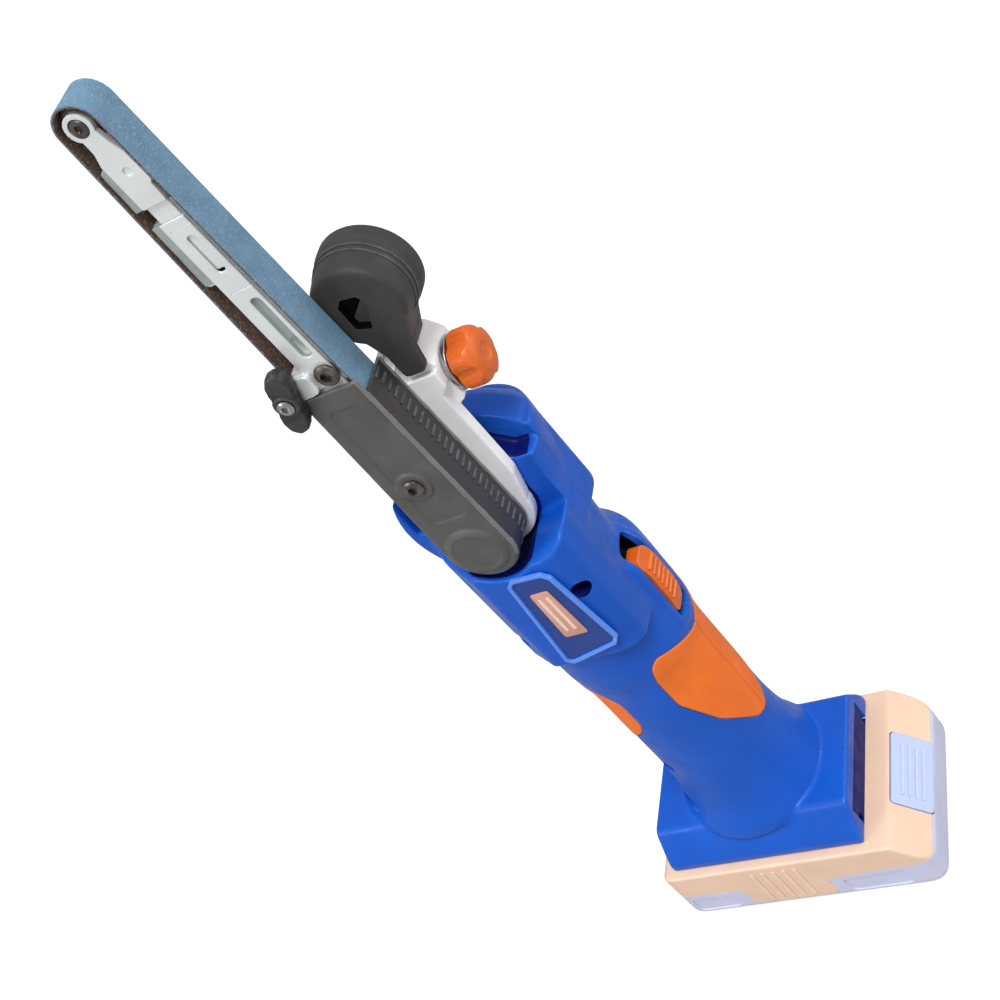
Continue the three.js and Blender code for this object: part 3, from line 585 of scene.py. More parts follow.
# near-black painted shade for the inside of the dust port's socket
PAINTED_DEEP_SHADE = surface("unlit_recess", (5, 5, 6), 0.9, mottle=(6, 0.1), grain=(0.5, 0.02), specular=0.05)
BLACK = surface("black_plastic", (38, 37, 38), 0.45, mottle=(8, 0.15), grain=(0.4, 0.03),
                wear_and_highlight=((95, 93, 92), 0.5))
CAST = surface("cast_alloy", (252, 252, 253), 0.5, metallic=0.0, mottle=(9, 0.07), grain=(0.7, 0.06),
               rough_spread=0.14, wear_and_highlight=((250, 250, 250), 0.6))
ALLOY = surface("arm_alloy", (228, 233, 232), 0.34, metallic=0.3, mottle=(12, 0.05), grain=(0.35, 0.015),
                rough_spread=0.12, brushed=(1, 1, 0.05), wear_and_highlight=((250, 250, 250), 0.6))
STEEL = surface("ground_steel", (176, 178, 182), 0.28, metallic=1.0, mottle=(6, 0.08), grain=(0.3, 0.01),
                brushed=(1, 1, 0.06))
DARK_STEEL = surface("black_oxide_steel", (66, 58, 54), 0.4, metallic=0.75, mottle=(3, 0.2),
                     grain=(0.3, 0.02), wear_and_highlight=((140, 132, 126), 0.6))
COPPER = surface("copper", (196, 120, 70), 0.3, metallic=1.0, mottle=(5, 0.12), grain=(0.3, 0.01))
GRIT = surface("abrasive_grain", (111, 146, 172), 0.82, mottle=(7, 0.12), grain=(0.75, 0.16),
               specks=(0.7, (136, 166, 190), 0.4), rough_spread=0.1, specular=0.35)
CLOTH = surface("belt_backing", (98, 80, 70), 0.9, mottle=(6, 0.18), grain=(0.6, 0.08),
                specks=(0.8, (140, 120, 105), 0.5), specular=0.2)
BADGE = surface("badge_rim", (78, 138, 240), 0.34, mottle=(8, 0.08), grain=(0.4, 0.01),
                wear_and_highlight=((130, 175, 250), 0.6), coat=0.3)
BADGE_FIELD = surface("badge_field", (14, 58, 140), 0.42, mottle=(8, 0.1), grain=(0.4, 0.03))
LABEL = surface("badge_label", (220, 162, 140), 0.5, mottle=(5, 0.1), grain=(0.3, 0.01))
LABEL_INK = surface("badge_label_bar", (244, 214, 200), 0.45, mottle=(3, 0.08), grain=(0.3, 0.01))
PEACH = surface("battery_peach", (239, 204, 177), 0.5, mottle=(20, 0.05), grain=(0.5, 0.03),
                wear_and_highlight=((255, 238, 222), 0.5))
LAVENDER = surface("battery_lavender", (205, 208, 232), 0.5, mottle=(20, 0.05), grain=(0.5, 0.03),
                   wear_and_highlight=((232, 234, 248), 0.5))
BUTTON_BLUE = surface("battery_button_blue", (186, 200, 238), 0.45, mottle=(9, 0.05), grain=(0.5, 0.02),
                      wear_and_highlight=((225, 232, 250), 0.5))
TYRE = surface("wheel_rubber", (48, 47, 46), 0.8, mottle=(4, 0.15), grain=(0.5, 0.08))
BOARD = surface("circuit_board", (38, 104, 56), 0.4, mottle=(5, 0.1), grain=(0.4, 0.01), coat=0.5)
CELL_SLEEVE = surface("cell_sleeve", (84, 128, 176), 0.35, mottle=(12, 0.05), grain=(0.5, 0.01), coat=0.3)

CAD_LOOKS = [
    (CAST, "gear_case gear_case_cover"),
    (STEEL, "spindle_bearing_front spindle_bearing_rear drive_spindle bevel_gear bevel_pinion motor_rotor"),
    (STEEL, "motor_bearing_rear motor_bearing_front lock_screw platen"),
    (DARK_STEEL, "motor_can"),
    (COPPER, "commutator terminal_blade_1 terminal_blade_2"),
    (BLACK, "brush_ring cooling_fan switch_rod switch_module terminal_block"),
    (BOARD, "circuit_board"),
    (CELL_SLEEVE, "battery_cell_1 battery_cell_2 battery_cell_3 battery_cell_4 battery_cell_5"),
]
for look, nodes in CAD_LOOKS:
    for node in nodes.split():
        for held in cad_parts[node].material_slots:
            held.material = look

# ---- driving dimensions, as in the CAD (millimetres)
GAP = 0.3
DRIVE_Z = 254.0
BELT_Y = -22.7
DRIVE_R = 11.1
IDLER_R = 6.9
AXLE_SPACING = 194.5
IDLER_Z = DRIVE_Z + AXLE_SPACING
RUN_SLOPE = (DRIVE_R - IDLER_R) / AXLE_SPACING
DRIVE_AXIS = (0, 0, DRIVE_Z)
IDLER_AXIS = (0, 0, IDLER_Z)
SEAM = 0.12
BARREL = [(46, 34), (54, 33.5), (62, 30.6), (72, 28.4), (84, 27.2), (95, 26.8), (120, 26.8), (148, 26.9),
          (158, 28.2), (166, 29), (182, 29.2), (197, 29.1), (203, 27.6), (208, 24.8), (214, 23),
          (224, 23.6), (245, 26.3), (266, 29), (276, 29.4)]
HEAD_R = 35.5
HEAD_FRONT_Y = -14.0
NECK = [(16, -31), (21.5, -29.5), (26, -25.5), (27.2, -16), (26, -6), (24.5, 4), (20, 12), (12, 14.5),
        (-20, 14), (-30, 4), (-30, -12), (-24, -22), (-13, -31)]
POCKET = [(10, 279), (20.5, 270), (60, 270), (60, 300), (10, 300)]


def run_half(z, inset=0.0):
    return DRIVE_R - (z - DRIVE_Z) * RUN_SLOPE - inset


def barrel(inset, z0, z1, n=112):
    side = flowing(BARREL, 5)
    low = min(side, key=lambda p: abs(p[0] - z0))[1] - inset
    high = min(side, key=lambda p: abs(p[0] - z1))[1] - inset
    wall = [(r - inset, z) for z, r in side if z0 + 0.3 < z < z1 - 0.3]
    return turned([(0, z0), (low, z0)] + wall + [(high, z1), (0, z1)], n=n)


def gear_head(inset, n=112):
    r, far = HEAD_R - inset, 22 - inset
    front = HEAD_FRONT_Y + inset
    drum = turned([(0, front), (r - 1, front), (r, front + 1), (r, 11), (r - 2, 15), (r - 6.5, far - 2),
                   (r - 11, far), (0, far)], "Y", DRIVE_AXIS, n)
    top = 26.6 - inset
    section = eased([(-40, -20), (top, -20), (top, 13), (14, 28), (-40, 28)], 3)
    return within(drum, prism(section, "Z", 200, 300))


def neck():
    pad = prism(eased(NECK, 3, 4), "Z", 184, 250)
    slope = prism([(-50, 170), (30, 170), (30, 250), (HEAD_FRONT_Y, 250), (-31, 240), (-50, 230)], "X",
                  -50, 50)
    room = disc(15.6, -40, HEAD_FRONT_Y, "Y", DRIVE_AXIS, 72)
    return cut(within(pad, slope), room)


def foot(inset):
    k = inset
    wall = [(-35.3 + k, 35), (35.3 - k, 35), (35.3 - k, 39.2), (33.2 - k, 43.6), (27 - k, 53.4 - k),
            (25 - k, 54.6 - k), (-25 + k, 54.6 - k), (-27 + k, 53.4 - k), (-33.2 + k, 43.6),
            (-35.3 + k, 39.2)]
    plan = rounded(-45 + k, 44.5 - k, -60, 60, 4)
    return within(prism(wall, "X", -45 + k, 44.5 - k), prism(plan, "Z", 30, 60))


# ---- housing
SCREWS = [(20.5, 220.5, -16), (-22, 196, -16), (-17, 94, -14), (-22.5, 63.5, -13.5)]
SCREW_HEAD_R = 3.2
SCREW_SHANK_R = 1.9
SCREW_LENGTH = 19.0
SCREW_BORE_R = 2.1
POST_R = 4.6
UPPER_GRIP = (-35, [(22, 90), (22, 155), (13.3, 156), (1.4, 161.5), (-7.8, 165.5), (-11.5, 162),
                    (-12.5, 154), (-12.1, 136), (-4.2, 116), (9.1, 97)])
LOWER_GRIP = (-140, [(14.9, 131), (14.9, 147), (10, 154), (0, 158), (-24, 158), (-24, 116), (5, 119),
                     (12, 125)])


def grip_shape(grip, inset, thick, grow=0.0):
    """The left half of a grip patch: its outline seen square on, pulled through a shell of the barrel."""
    turn, points = grip
    middle = Vector((sum(p[0] for p in points), sum(p[1] for p in points))) / len(points)
    spread = []
    for p in points:
        away = Vector(p) - middle
        spread.append(tuple(Vector(p) + away.normalized() * grow))
    window = turned_by(prism(eased(spread, 9, 7), "X", 0, 60), turn, "Z")
    shell = cut(barrel(inset, 80, 180), barrel(inset + thick, 78, 182, 64))
    return within(shell, window, block(-60, 60, -60, -SEAM, 60, 200))


def housing_body():
    body = join(barrel(0, 50, 276), neck(), gear_head(0), foot(0))
    ridge = cut(within(prism(rounded(-9.6, 9.6, 161.5, 212.5, 6), "X", 12, 40), barrel(-0.9, 150, 214)),
                prism(rounded(-6.6, 6.6, 165, 209, 4), "X", 10, 45))
    body = join(body, ridge)
    ring_room = disc(17.6, -60, -8.4, "Y", DRIVE_AXIS, 64)
    swing = [(-31, 0), (0, 0), (12, -13.2), (28, -8.4), (31, 0), (31, 31), (-31, 31)]
    swing_room = prism([(x, DRIVE_Z + z) for x, z in swing], "Y", -60, -8.4)
    head_front = prism(rounded(-28, 60, DRIVE_Z - 1, 320, 3), "Y", -60, -8.4)
    pocket = prism(POCKET, "Y", -60, 0)
    body = softened(cut(body, ring_room, swing_room, head_front, pocket), 0.7, 12, 0.6)
    to_head = cut(barrel(2.4, 205, 268, 48), block(-60, 60, -60, -7, 226, 300))
    head_room = within(gear_head(2.4, 48), block(-60, 60, -6, 60, 200, 300))
    pocket_wall = prism([(x - 1.5, z - 1.5) for x, z in POCKET], "Y", -9, 1.5)
    rooms = join(barrel(4.2, 40, 157, 48), barrel(2.4, 150, 214, 48), to_head, cut(head_room, pocket_wall),
                 foot(2.4))
    slot = prism(rounded(-6.2, 6.2, 165.5, 208.5, 3), "X", 15, 45)
    neck_bore = disc(12.9, -60, 5, "Y", DRIVE_AXIS, 64)
    battery_room = block(-42.3, 60, -26.5, 26.5, 30, 47.5)
    return cut(body, rooms, slot, neck_bore, battery_room)


def vents():
    """Slots for the cooling air, on the right side only."""
    slots = []
    for k in range(6):
        x = -12 + 4.6 * k
        slots.append(prism(eased([(x - 1.1, 187), (x + 1.1, 187), (x + 1.9, 203), (x - 0.3, 203)], 1.0),
                           "Y", 8, 45))
    for k in range(4):
        x = -8 + 5 * k
        slots.append(prism(rounded(x - 1, x + 1, 101, 112, 0.95), "Y", 8, 45))
    return slots


def painted_recess_shade(x, y, z, normal):
    """Faces painted navy as shade: those in the pocket beside the arm holder, behind the belt cover and in
    the first screw's bore.

    `behind_cover` has no limit on its far side, so it also takes part of the gear head's outer right face.
    """
    from_axis = math.hypot(x, z - DRIVE_Z)
    pocket = x > 9 and z > 268.5 and -7.6 < y < 1.6 and from_axis < 34 and x < 26
    behind_cover = from_axis < 18.2 and z < DRIVE_Z + 3 and y > -29 and normal.y > -0.8
    bore = any(math.hypot(x - u, z - w) < SCREW_HEAD_R + 0.6 and y < seat + 0.5 and abs(normal.y) < 0.3
               for u, w, seat in SCREWS[:1])
    return pocket or behind_cover or bore or (from_axis < 18.2 and -9.5 < y < 4)


def make_housing():
    body = housing_body()
    for side, name in ((-1, "left"), (1, "right")):
        near = copied(body)
        near = within(near, side_block(side, -90, 90, SEAM, 90, 20, 300))
        for grip in (UPPER_GRIP, LOWER_GRIP):
            trench = grip_shape(grip, -1.5, 3.4, 0.28)
            near = cut(near, trench if side < 0 else mirrored(trench))
        for x, z, seat in SCREWS:
            if side < 0:
                inside = barrel(0.6, 50, 270, 64) if z < 150 else block(-90, 90, -60, 0, 0, 300)
                post = within(pin(POST_R, seat - 3, -0.3, x, z, 32), inside)
                near = cut(join(near, post), pin(SCREW_HEAD_R + 0.45, -60, seat, x, z, 40),
                           pin(SCREW_BORE_R, -60, 5.5, x, z, 24))
        if side > 0:
            near = cut(near, *vents())
        near = join(near, side_block(side, -42.5, 42, 23.5, 32.6, 36.2, 39.8))
        near = tidied(near, 0.05)
        # the housing's recess faces get the navy as painted shade
        piece(f"housing_shell_{name}", near, BLUE, "housing", [f"housing_{name}"], 44,
              [(NAVY_AND_PAINTED_SHADE, painted_recess_shade)])
    bpy.data.objects.remove(body)
    for grip, name in ((UPPER_GRIP, "upper"), (LOWER_GRIP, "lower")):
        left = softened(grip_shape(grip, -0.35, 2.0), 0.42, 4)
        right = mirrored(copied(left))
        for part, side in ((left, "left"), (right, "right")):
            piece(f"grip_pad_{name}_{side}", part, ORANGE, "housing", [f"grip_{name}_{side}"],
                  50)


make_housing()


# ---- screws
def screw(name, node, body, spot, head, seat, face, shank, tip, material=DARK_STEEL):
    """A pan-head screw with a hexagon socket, along Y at the (x, z) spot.

    The head, of radius `head`, stands from `seat` out to `face`, and the shank runs in to `tip`.
    """
    place = ("Y", (spot[0], 0, spot[1]))
    rise = seat - face
    floor = face + min(1.4, rise * 0.8)
    dome = [(0, seat), (head - 0.25, seat), (head, seat - 0.25), (head, seat - rise * 0.5),
            (head * 0.86, seat - rise * 0.84), (head * 0.62, face), (0, face)]
    threads = [(0, seat - 0.3), (shank, seat - 0.3), (shank, tip), (0, tip)]
    work = join(turned(dome, *place, 40), turned(threads, *place, 24))
    hexagon = [(0, floor), (head * 0.48, floor), (head * 0.5, face - 0.2), (0, face - 0.2)]
    work = bevelled(cut(work, turned(hexagon, *place, 6)), 0.12, 2)
    piece(name, work, material, body, [node], 35)


for number, (x, z, seat) in enumerate(SCREWS, 1):
    top = seat - GAP
    screw(f"shell_screw_{number}", f"housing_screw_{number}", "housing", (x, z), SCREW_HEAD_R, top + 2.4,
          top, SCREW_SHANK_R, top + SCREW_LENGTH)

# ---- badge on the left of the neck
BADGE_LINE = [(-1.2, 234.5), (1.6, 237.2), (14, 236.6), (16.8, 233.6), (20.8, 195), (18.2, 191.4),
              (-3, 186.2), (-5.8, 188.4)]
LABEL_LINE = [(3.6, 227.5), (11.2, 227.5), (12.4, 201.5), (2.6, 201.5)]


def make_badge():
    rim = cut(prism(eased(BADGE_LINE, 1.6), "Y", -33, -31.3),
              prism(eased(inset(BADGE_LINE, 1.5), 1.2), "Y", -34, -32.1))
    piece("badge_frame", bevelled(rim, 0.3, 3), BADGE, "housing", ["badge_plate"])
    field = prism(eased(inset(BADGE_LINE, 1.7), 1.2), "Y", -32.25, -31.9)
    piece("badge_panel", field, BADGE_FIELD, "housing")
    label = prism(eased(LABEL_LINE, 1.2), "Y", -32.75, -32.2)
    piece("badge_plain_label", bevelled(label, 0.15, 2), LABEL, "housing")
    for number, x in enumerate((5.7, 9.1), 1):
        bar = prism(rounded(x - 0.7, x + 0.7, 205, 224.5, 0.6), "Y", -32.9, -32.7)
        piece(f"badge_label_bar_{number}", bevelled(bar, 0.05, 1), LABEL_INK, "housing")


make_badge()


# ---- slide switch
def make_switch():
    face = prism(rounded(-5.6, 5.6, 168, 200, 4), "X", 22.8, 31)
    crown = [(22, 160), (28.4, 160), (28.8, 168), (30.2, 178), (30.2, 192), (28.4, 200), (28, 210),
             (22, 210)]
    body = softened(within(face, prism(eased(crown, 2.5), "Y", -10, 10)), 0.3, 3)
    ridges = heap(*[prism(rounded(29.2, 30.75, z - 0.55, z + 0.55, 0.5, 3), "Y", -3.9, 3.9)
                    for z in range(176, 196, 3)])
    piece("switch_slide_button", join(body, ridges), ORANGE_HARD, "switch_slider", ["switch_button"])


make_switch()

# ---- arm holder and its clamp knob
HOLDER_Y = -13.7
NECK_R = 12.0
LOCK_AXIS = (0, -1.0, 311.0)
LOCK_R = 10.5
HOLDER_SCREWS = [(-3, 281), (-3, 317)]


def make_holder():
    side = [(-11, DRIVE_Z), (-11, 314), (-4, 326), (19, 326), (23.8, 320), (23.8, 312), (20.3, 309),
            (20.3, 268), (17, DRIVE_Z)]
    plate = prism(eased(side, 2), "Y", HOLDER_Y, -8.8)
    collar = disc(17, HOLDER_Y, -8.8, "Y", DRIVE_AXIS, 96)
    nose_side = [(-4, 301), (-4, 320), (2, 326), (19, 326), (23.8, 320), (23.8, 303), (21.8, 301)]
    nose = cut(prism(eased(nose_side, 2.5), "Y", -9, 8), disc(HEAD_R + 1.5, -8.8, 40, "Y", DRIVE_AXIS, 96))
    body = softened(heap(plate, collar, nose), 0.42, 4)
    bore = disc(NECK_R + GAP, -20, 0, "Y", DRIVE_AXIS, 72)
    split = block(5, 6.6, -20, 20, DRIVE_Z + 4, 340)
    screw_bore = disc(3.1, -3, 40, "X", LOCK_AXIS)
    face = disc(9.8, 23.5, 30, "X", LOCK_AXIS, 64)
    nozzle_seat = block(12.4, 40, -20, -10.9, 318.4, 340)
    threads = [pin(2.5, -20, -5, x, z) for x, z in HOLDER_SCREWS]
    body = cut(body, bore, split, screw_bore, face, nozzle_seat, *threads)
    piece("arm_holder_casting", body, CAST, "arm", ["arm_holder"], 40)


def make_clamp_knob():
    _, y, z = LOCK_AXIS
    r = LOCK_R
    washer = ring(3.1, 9.6, 24.1, 26, "X", LOCK_AXIS, 72)
    piece("clamp_washer", bevelled(washer, 0.3, 3), STEEL, "arm", ["lock_washer"])
    lobes = []
    for i in range(100):
        angle = 2 * PI * i / 100
        reach = r - 2.0 * (0.5 - 0.5 * math.cos(5 * angle)) ** 1.4
        lobes.append((y + reach * math.cos(angle), z + reach * math.sin(angle)))
    crown = turned([(0, 26.3), (r - 1.2, 26.3), (r, 27.4), (r, 32.6), (r - 1.2, 34.6), (r - 4.5, 35.8),
                    (3.4, 36), (2.8, 35.4), (0, 35.4)], "X", LOCK_AXIS, 96)
    knob = softened(within(prism(lobes, "X", 26, 37), crown), 0.34, 4)
    knob = cut(knob, disc(3.1, 20, 33.3, "X", LOCK_AXIS))
    flutes = []
    for i in range(30):
        angle = 2 * PI * (i + 0.5) / 30
        reach = r - 2.0 * (0.5 - 0.5 * math.cos(5 * angle)) ** 1.4
        flutes.append(disc(0.32, 28.2, 33.0, "X", (0, y + (reach + 0.1) * math.cos(angle),
                                                   z + (reach + 0.1) * math.sin(angle)), 10))
    piece("clamp_knob_grip", cut(knob, heap(*flutes)), ORANGE_HARD, "clamp_knob", ["lock_knob"],
          45)


make_holder()
make_clamp_knob()

# ---- belt arm
ARM_Y0 = -28.9
ARM_Y1 = -16.5
RAIL_Z0 = 269.0
RAIL_Z1 = 412.7
COVER_SCREW = (-1, 291)
PIVOT = (4.1, 344.4)
TRACKING = (-11.3, 343.5)
FORK_TRAVEL = 6.0
WHEEL_R = DRIVE_R - GAP
AXLE_R = 2.9
LOWER_EDGE_X = -3.8
OPEN_EDGE = (349, 388)
FLANGE_Y = -28.4
SLEEVE_X = (-3.6, 5.2)
SLEEVE_Y = (-28.3, -17.6)
SLEEVE_Z0 = 384


def slot_cut(x, z0, z1, half, depth_y):
    return prism(rounded(x - half, x + half, z0, z1, half * 0.96), "Y", -35, depth_y)


def make_rail():
    side = [(run_half(RAIL_Z0, 1.9), RAIL_Z0), (run_half(RAIL_Z1, 1.9), RAIL_Z1),
            (-run_half(RAIL_Z1, 1.6), RAIL_Z1), (-run_half(RAIL_Z0, 1.6), RAIL_Z0)]
    beam = prism(side, "Y", ARM_Y0, ARM_Y1)
    bosses = [pin(4.6, ARM_Y1 - 1, HOLDER_Y - GAP, x, z) for x, z in HOLDER_SCREWS]
    lug = prism(rounded(-15, -1, 339.6, 348, 3.5), "Y", -31.2, -29.5)
    lug_root = block(-7, -1, -29.6, -28, 340, 347.6)
    open_edge = block(-20, LOWER_EDGE_X, -40, 0, *OPEN_EDGE)
    set_back = block(-20, LOWER_EDGE_X, -40, FLANGE_Y, OPEN_EDGE[1] - 1, RAIL_Z1 + 1)
    rail = cut(join(beam, *bosses, lug, lug_root), open_edge, set_back, slot_cut(2, 391, 406, 1.7, -28),
               slot_cut(3.2, 352.5, 379, 2, -27.7), slot_cut(3.4, 352.5, 360.5, 1.9, -24))
    lip = prism([(LOWER_EDGE_X + 1, 388.5), (LOWER_EDGE_X + 1, RAIL_Z1),
                 (-run_half(RAIL_Z1, 0.45), RAIL_Z1), (-run_half(388.5, 0.45), 388.5)], "Y", FLANGE_Y,
                ARM_Y1)
    rail = softened(join(rail, lip), 0.3, 2)
    sleeve = block(*SLEEVE_X, *SLEEVE_Y, SLEEVE_Z0, RAIL_Z1 + 1)
    bores = [disc(3.1, 366, 390, "Z", (0, BELT_Y, 0)), disc(WHEEL_R + 1.2, -40, 0, "Y", DRIVE_AXIS, 72)]
    for x, z in HOLDER_SCREWS:
        bores += [pin(2.5, -35, -5, x, z), pin(4.2, -35, -24.6, x, z)]
    for (x, z), y in ((COVER_SCREW, -21), (PIVOT, -22), (TRACKING, -20)):
        bores.append(pin(2.2, -35, y, x, z))
    grooves = heap(*[block(-2.2, 8.2, -29.2, ARM_Y0 + 0.22, z - 0.2, z + 0.2) for z in (383.2, 409.6)])
    # the set-back lower edge and the slot floors are painted darker as shade
    painted_light_faces = [(PAINTED_ARM_SHADE, lambda x, y, z, normal: z > 350 and ARM_Y0 + 0.45 < y < -27
                 and (x < LOWER_EDGE_X + 0.3 and z > 388.6 or 0 < x < 5.4 and z < 407))]
    piece("arm_beam", cut(rail, sleeve, *bores, grooves), ALLOY, "arm", ["arm_rail"], 40,
          painted_light_faces)
    for number, (x, z) in enumerate(HOLDER_SCREWS, 1):
        screw(f"arm_clamp_screw_{number}", f"arm_screw_{number}", "arm", (x, z), 3.9, -24.9, -28.6, 2.2,
              -9.2)
    strip = [(run_half(278, 1.5), 278), (run_half(278, 0.5), 278), (run_half(419, 0.5), 419),
             (run_half(419, 1.5), 419)]
    piece("platen_strip", bevelled(prism(strip, "Y", ARM_Y0 + 0.3, ARM_Y1 - 0.3), 0.2, 2), STEEL, "arm",
          ["platen"])


def make_fork():
    z0 = RAIL_Z1 + FORK_TRAVEL + GAP
    shank = block(SLEEVE_X[0] + GAP, SLEEVE_X[1] - GAP, SLEEVE_Y[0] + GAP, SLEEVE_Y[1] - GAP, 392, 436)
    head = prism(eased([(-4, z0), (5.5, z0), (5.7, 425.5), (6.7, 426.5), (6.4, 437), (5, 441), (4, 446),
                        (-2.5, 446), (-2.6, 440), (-4, 436)], 0.8, 4), "Y", ARM_Y0, ARM_Y1)
    flange = prism([(-3, z0), (-3, 436), (-run_half(436, 0.45), 434), (-run_half(z0, 0.45), z0)], "Y",
                   FLANGE_Y, ARM_Y1)
    eyes = disc(4.7, ARM_Y0, ARM_Y1, "Y", IDLER_AXIS, 64)
    work = softened(heap(shank, head, flange, eyes), 0.26, 2)
    roller_room = disc(IDLER_R + 0.4, -26.9, -18.5, "Y", IDLER_AXIS, 64)
    tip_room = block(-8, 8, -26.9, -18.5, IDLER_Z - 6, 470)
    bore = disc(AXLE_R + GAP, -40, 0, "Y", IDLER_AXIS, 40)
    dimple = disc(1.6, -35, ARM_Y0 + 0.5, "Y", (2.2, 0, 431.5), 32)
    # the fork's set-back flange is painted darker as shade
    painted_light_faces = [(PAINTED_ARM_SHADE, lambda x, y, z, normal: x < -3.9 and z < 437 and y > -28.6)]
    piece("fork_casting", cut(work, roller_room, tip_room, bore, dimple), ALLOY, "fork", ["arm_fork"],
          40, painted_light_faces)
    axle = turned([(0, ARM_Y0 + 0.3), (0.9, ARM_Y0 + 0.3), (1.2, ARM_Y0 - 0.2),
                   (AXLE_R - 0.4, ARM_Y0 - 0.2), (AXLE_R, ARM_Y0 + 0.3), (AXLE_R, ARM_Y1 - 0.3),
                   (AXLE_R - 0.3, ARM_Y1), (0, ARM_Y1)], "Y", IDLER_AXIS, 48)
    piece("roller_axle", axle, DARK_STEEL, "fork", ["idler_axle"])
    roller = turned([(AXLE_R + GAP, -26.5), (5.4, -26.5), (5.4, -26.1), (6.1, -26.1), (6.3, -25.6),
                     (IDLER_R - GAP, -24.2), (IDLER_R - GAP + 0.1, -22.7), (IDLER_R - GAP, -21.2),
                     (6.3, -19.8), (6.1, -19.3), (5.4, -19.3), (5.4, -18.9), (AXLE_R + GAP, -18.9)], "Y",
                    IDLER_AXIS, 64)
    piece("front_roller", roller, DARK_STEEL, "idler", ["idler_roller"])


def make_spring():
    turns, radius, wire, corners = 8, 2.3, 0.35, 10
    bm = bmesh.new()
    rings = []
    steps = turns * 24
    for i in range(steps + 1):
        angle = 2 * PI * turns * i / steps
        z = 367 + 24 * i / steps
        out = Vector((math.cos(angle), math.sin(angle), 0))
        section = [2 * PI * k / corners for k in range(corners)]
        rings.append([bm.verts.new(out * (radius + wire * math.cos(a))
                                   + Vector((0, BELT_Y, z + wire * math.sin(a)))) for a in section])
    for low, high in zip(rings, rings[1:]):
        skin(bm, low, high)
    bm.faces.new(rings[0][::-1])
    bm.faces.new(rings[-1])
    piece("belt_tension_spring", object_of(bm), STEEL, "arm", ["tension_spring"], 60)
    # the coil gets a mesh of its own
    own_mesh(bpy.data.objects["belt_tension_spring"])


def make_drive_wheel():
    profile = [(4.3, -28.8), (6.2, -28.8), (6.6, -28.2), (9, -28.2), (9.4, -28.8), (WHEEL_R - 0.6, -28.8),
               (WHEEL_R - 0.1, -28.2), (WHEEL_R, -25), (WHEEL_R, -20.4), (WHEEL_R - 0.1, -17.2),
               (WHEEL_R - 0.6, -16.6), (4.3, -16.6)]
    piece("belt_drive_wheel", turned(profile, "Y", DRIVE_AXIS, 96), TYRE, "spindle", ["drive_wheel"])


BELT_WIDTH = 13.0
BELT_THICK = 0.9
GRIT_THICK = 0.4


def belt_line(grow):
    """The belt's closed run offset outwards by `grow`: round both wheels, nearly straight between them."""
    tilt = math.asin(RUN_SLOPE)
    points = []
    for centre, radius, start, sweep in ((DRIVE_Z, DRIVE_R, PI - tilt, PI + 2 * tilt),
                                         (IDLER_Z, IDLER_R, tilt, PI - 2 * tilt)):
        for k in range(33):
            angle = start + sweep * k / 32
            points.append(((radius + grow) * math.cos(angle), centre + (radius + grow) * math.sin(angle)))
    return points


def belt_layer(inner, outer, y0, y1):
    bm = bmesh.new()
    lines = [belt_line(inner), belt_line(outer)]
    rings = [[bm.verts.new((x, y, z)) for x, z in line] for line in lines for y in (y0, y1)]
    order = [rings[0], rings[1], rings[3], rings[2]]
    for a, b in zip(order, order[1:] + order[:1]):
        skin(bm, a, b)
    return object_of(bm)


def make_belt():
    y0, y1 = BELT_Y - BELT_WIDTH / 2, BELT_Y + BELT_WIDTH / 2
    cloth = belt_layer(0, BELT_THICK - GRIT_THICK, y0, y1)
    piece("belt_cloth_backing", cloth, CLOTH, "arm", ["abrasive_belt"], 45)
    grit = belt_layer(BELT_THICK - GRIT_THICK, BELT_THICK, y0 + 0.05, y1 - 0.05)
    piece("belt_abrasive_face", grit, GRIT, "arm", angle=45)


make_rail()
make_fork()
make_spring()
make_drive_wheel()
make_belt()
screw("arm_pivot_screw", "pivot_screw", "arm", PIVOT, 4.3, -29.2, -31, 1.9, -22.3)

# ---- belt cover
COVER_R = 13.7
COVER_WALL = 1.2
COVER_FRONT = 339.0
COVER_Y0 = -31.2
COVER_Y1 = HOLDER_Y - GAP
COVER_BOSS_R = 11.4


def cover_line(r):
    """The cover's outline for a rear radius r: open to the front, with the lower front corner cut off."""
    half = r - (COVER_FRONT - DRIVE_Z) * RUN_SLOPE
    points = [(half, COVER_FRONT), (-half + 2, COVER_FRONT), (-half, COVER_FRONT - 4)]
    for k in range(49):
        angle = PI + PI * k / 48
        points.append((r * math.cos(angle), DRIVE_Z + r * math.sin(angle)))
    return points


def cover_ribs():
    """Short ribs across the far half of the skirt, along its top run and round its rear."""
    ribs = []
    y0, y1 = -22.4, -17.6
    for k in range(25):
        z = DRIVE_Z + 2 + 3.3 * k
        x = COVER_R - (z - DRIVE_Z) * RUN_SLOPE
        ribs.append(prism(rounded(x - 0.6, x + 0.4, z - 0.6, z + 0.6, 0.4, 3), "Y", y0, y1))
    for k in range(12):
        rib = prism(rounded(COVER_R - 0.6, COVER_R + 0.4, -0.6, 0.6, 0.4, 3), "Y", y0, y1)
        ribs.append(moved(turned_by(rib, 7 + 13.8 * k, "Y"), *DRIVE_AXIS))
    return heap(*ribs)


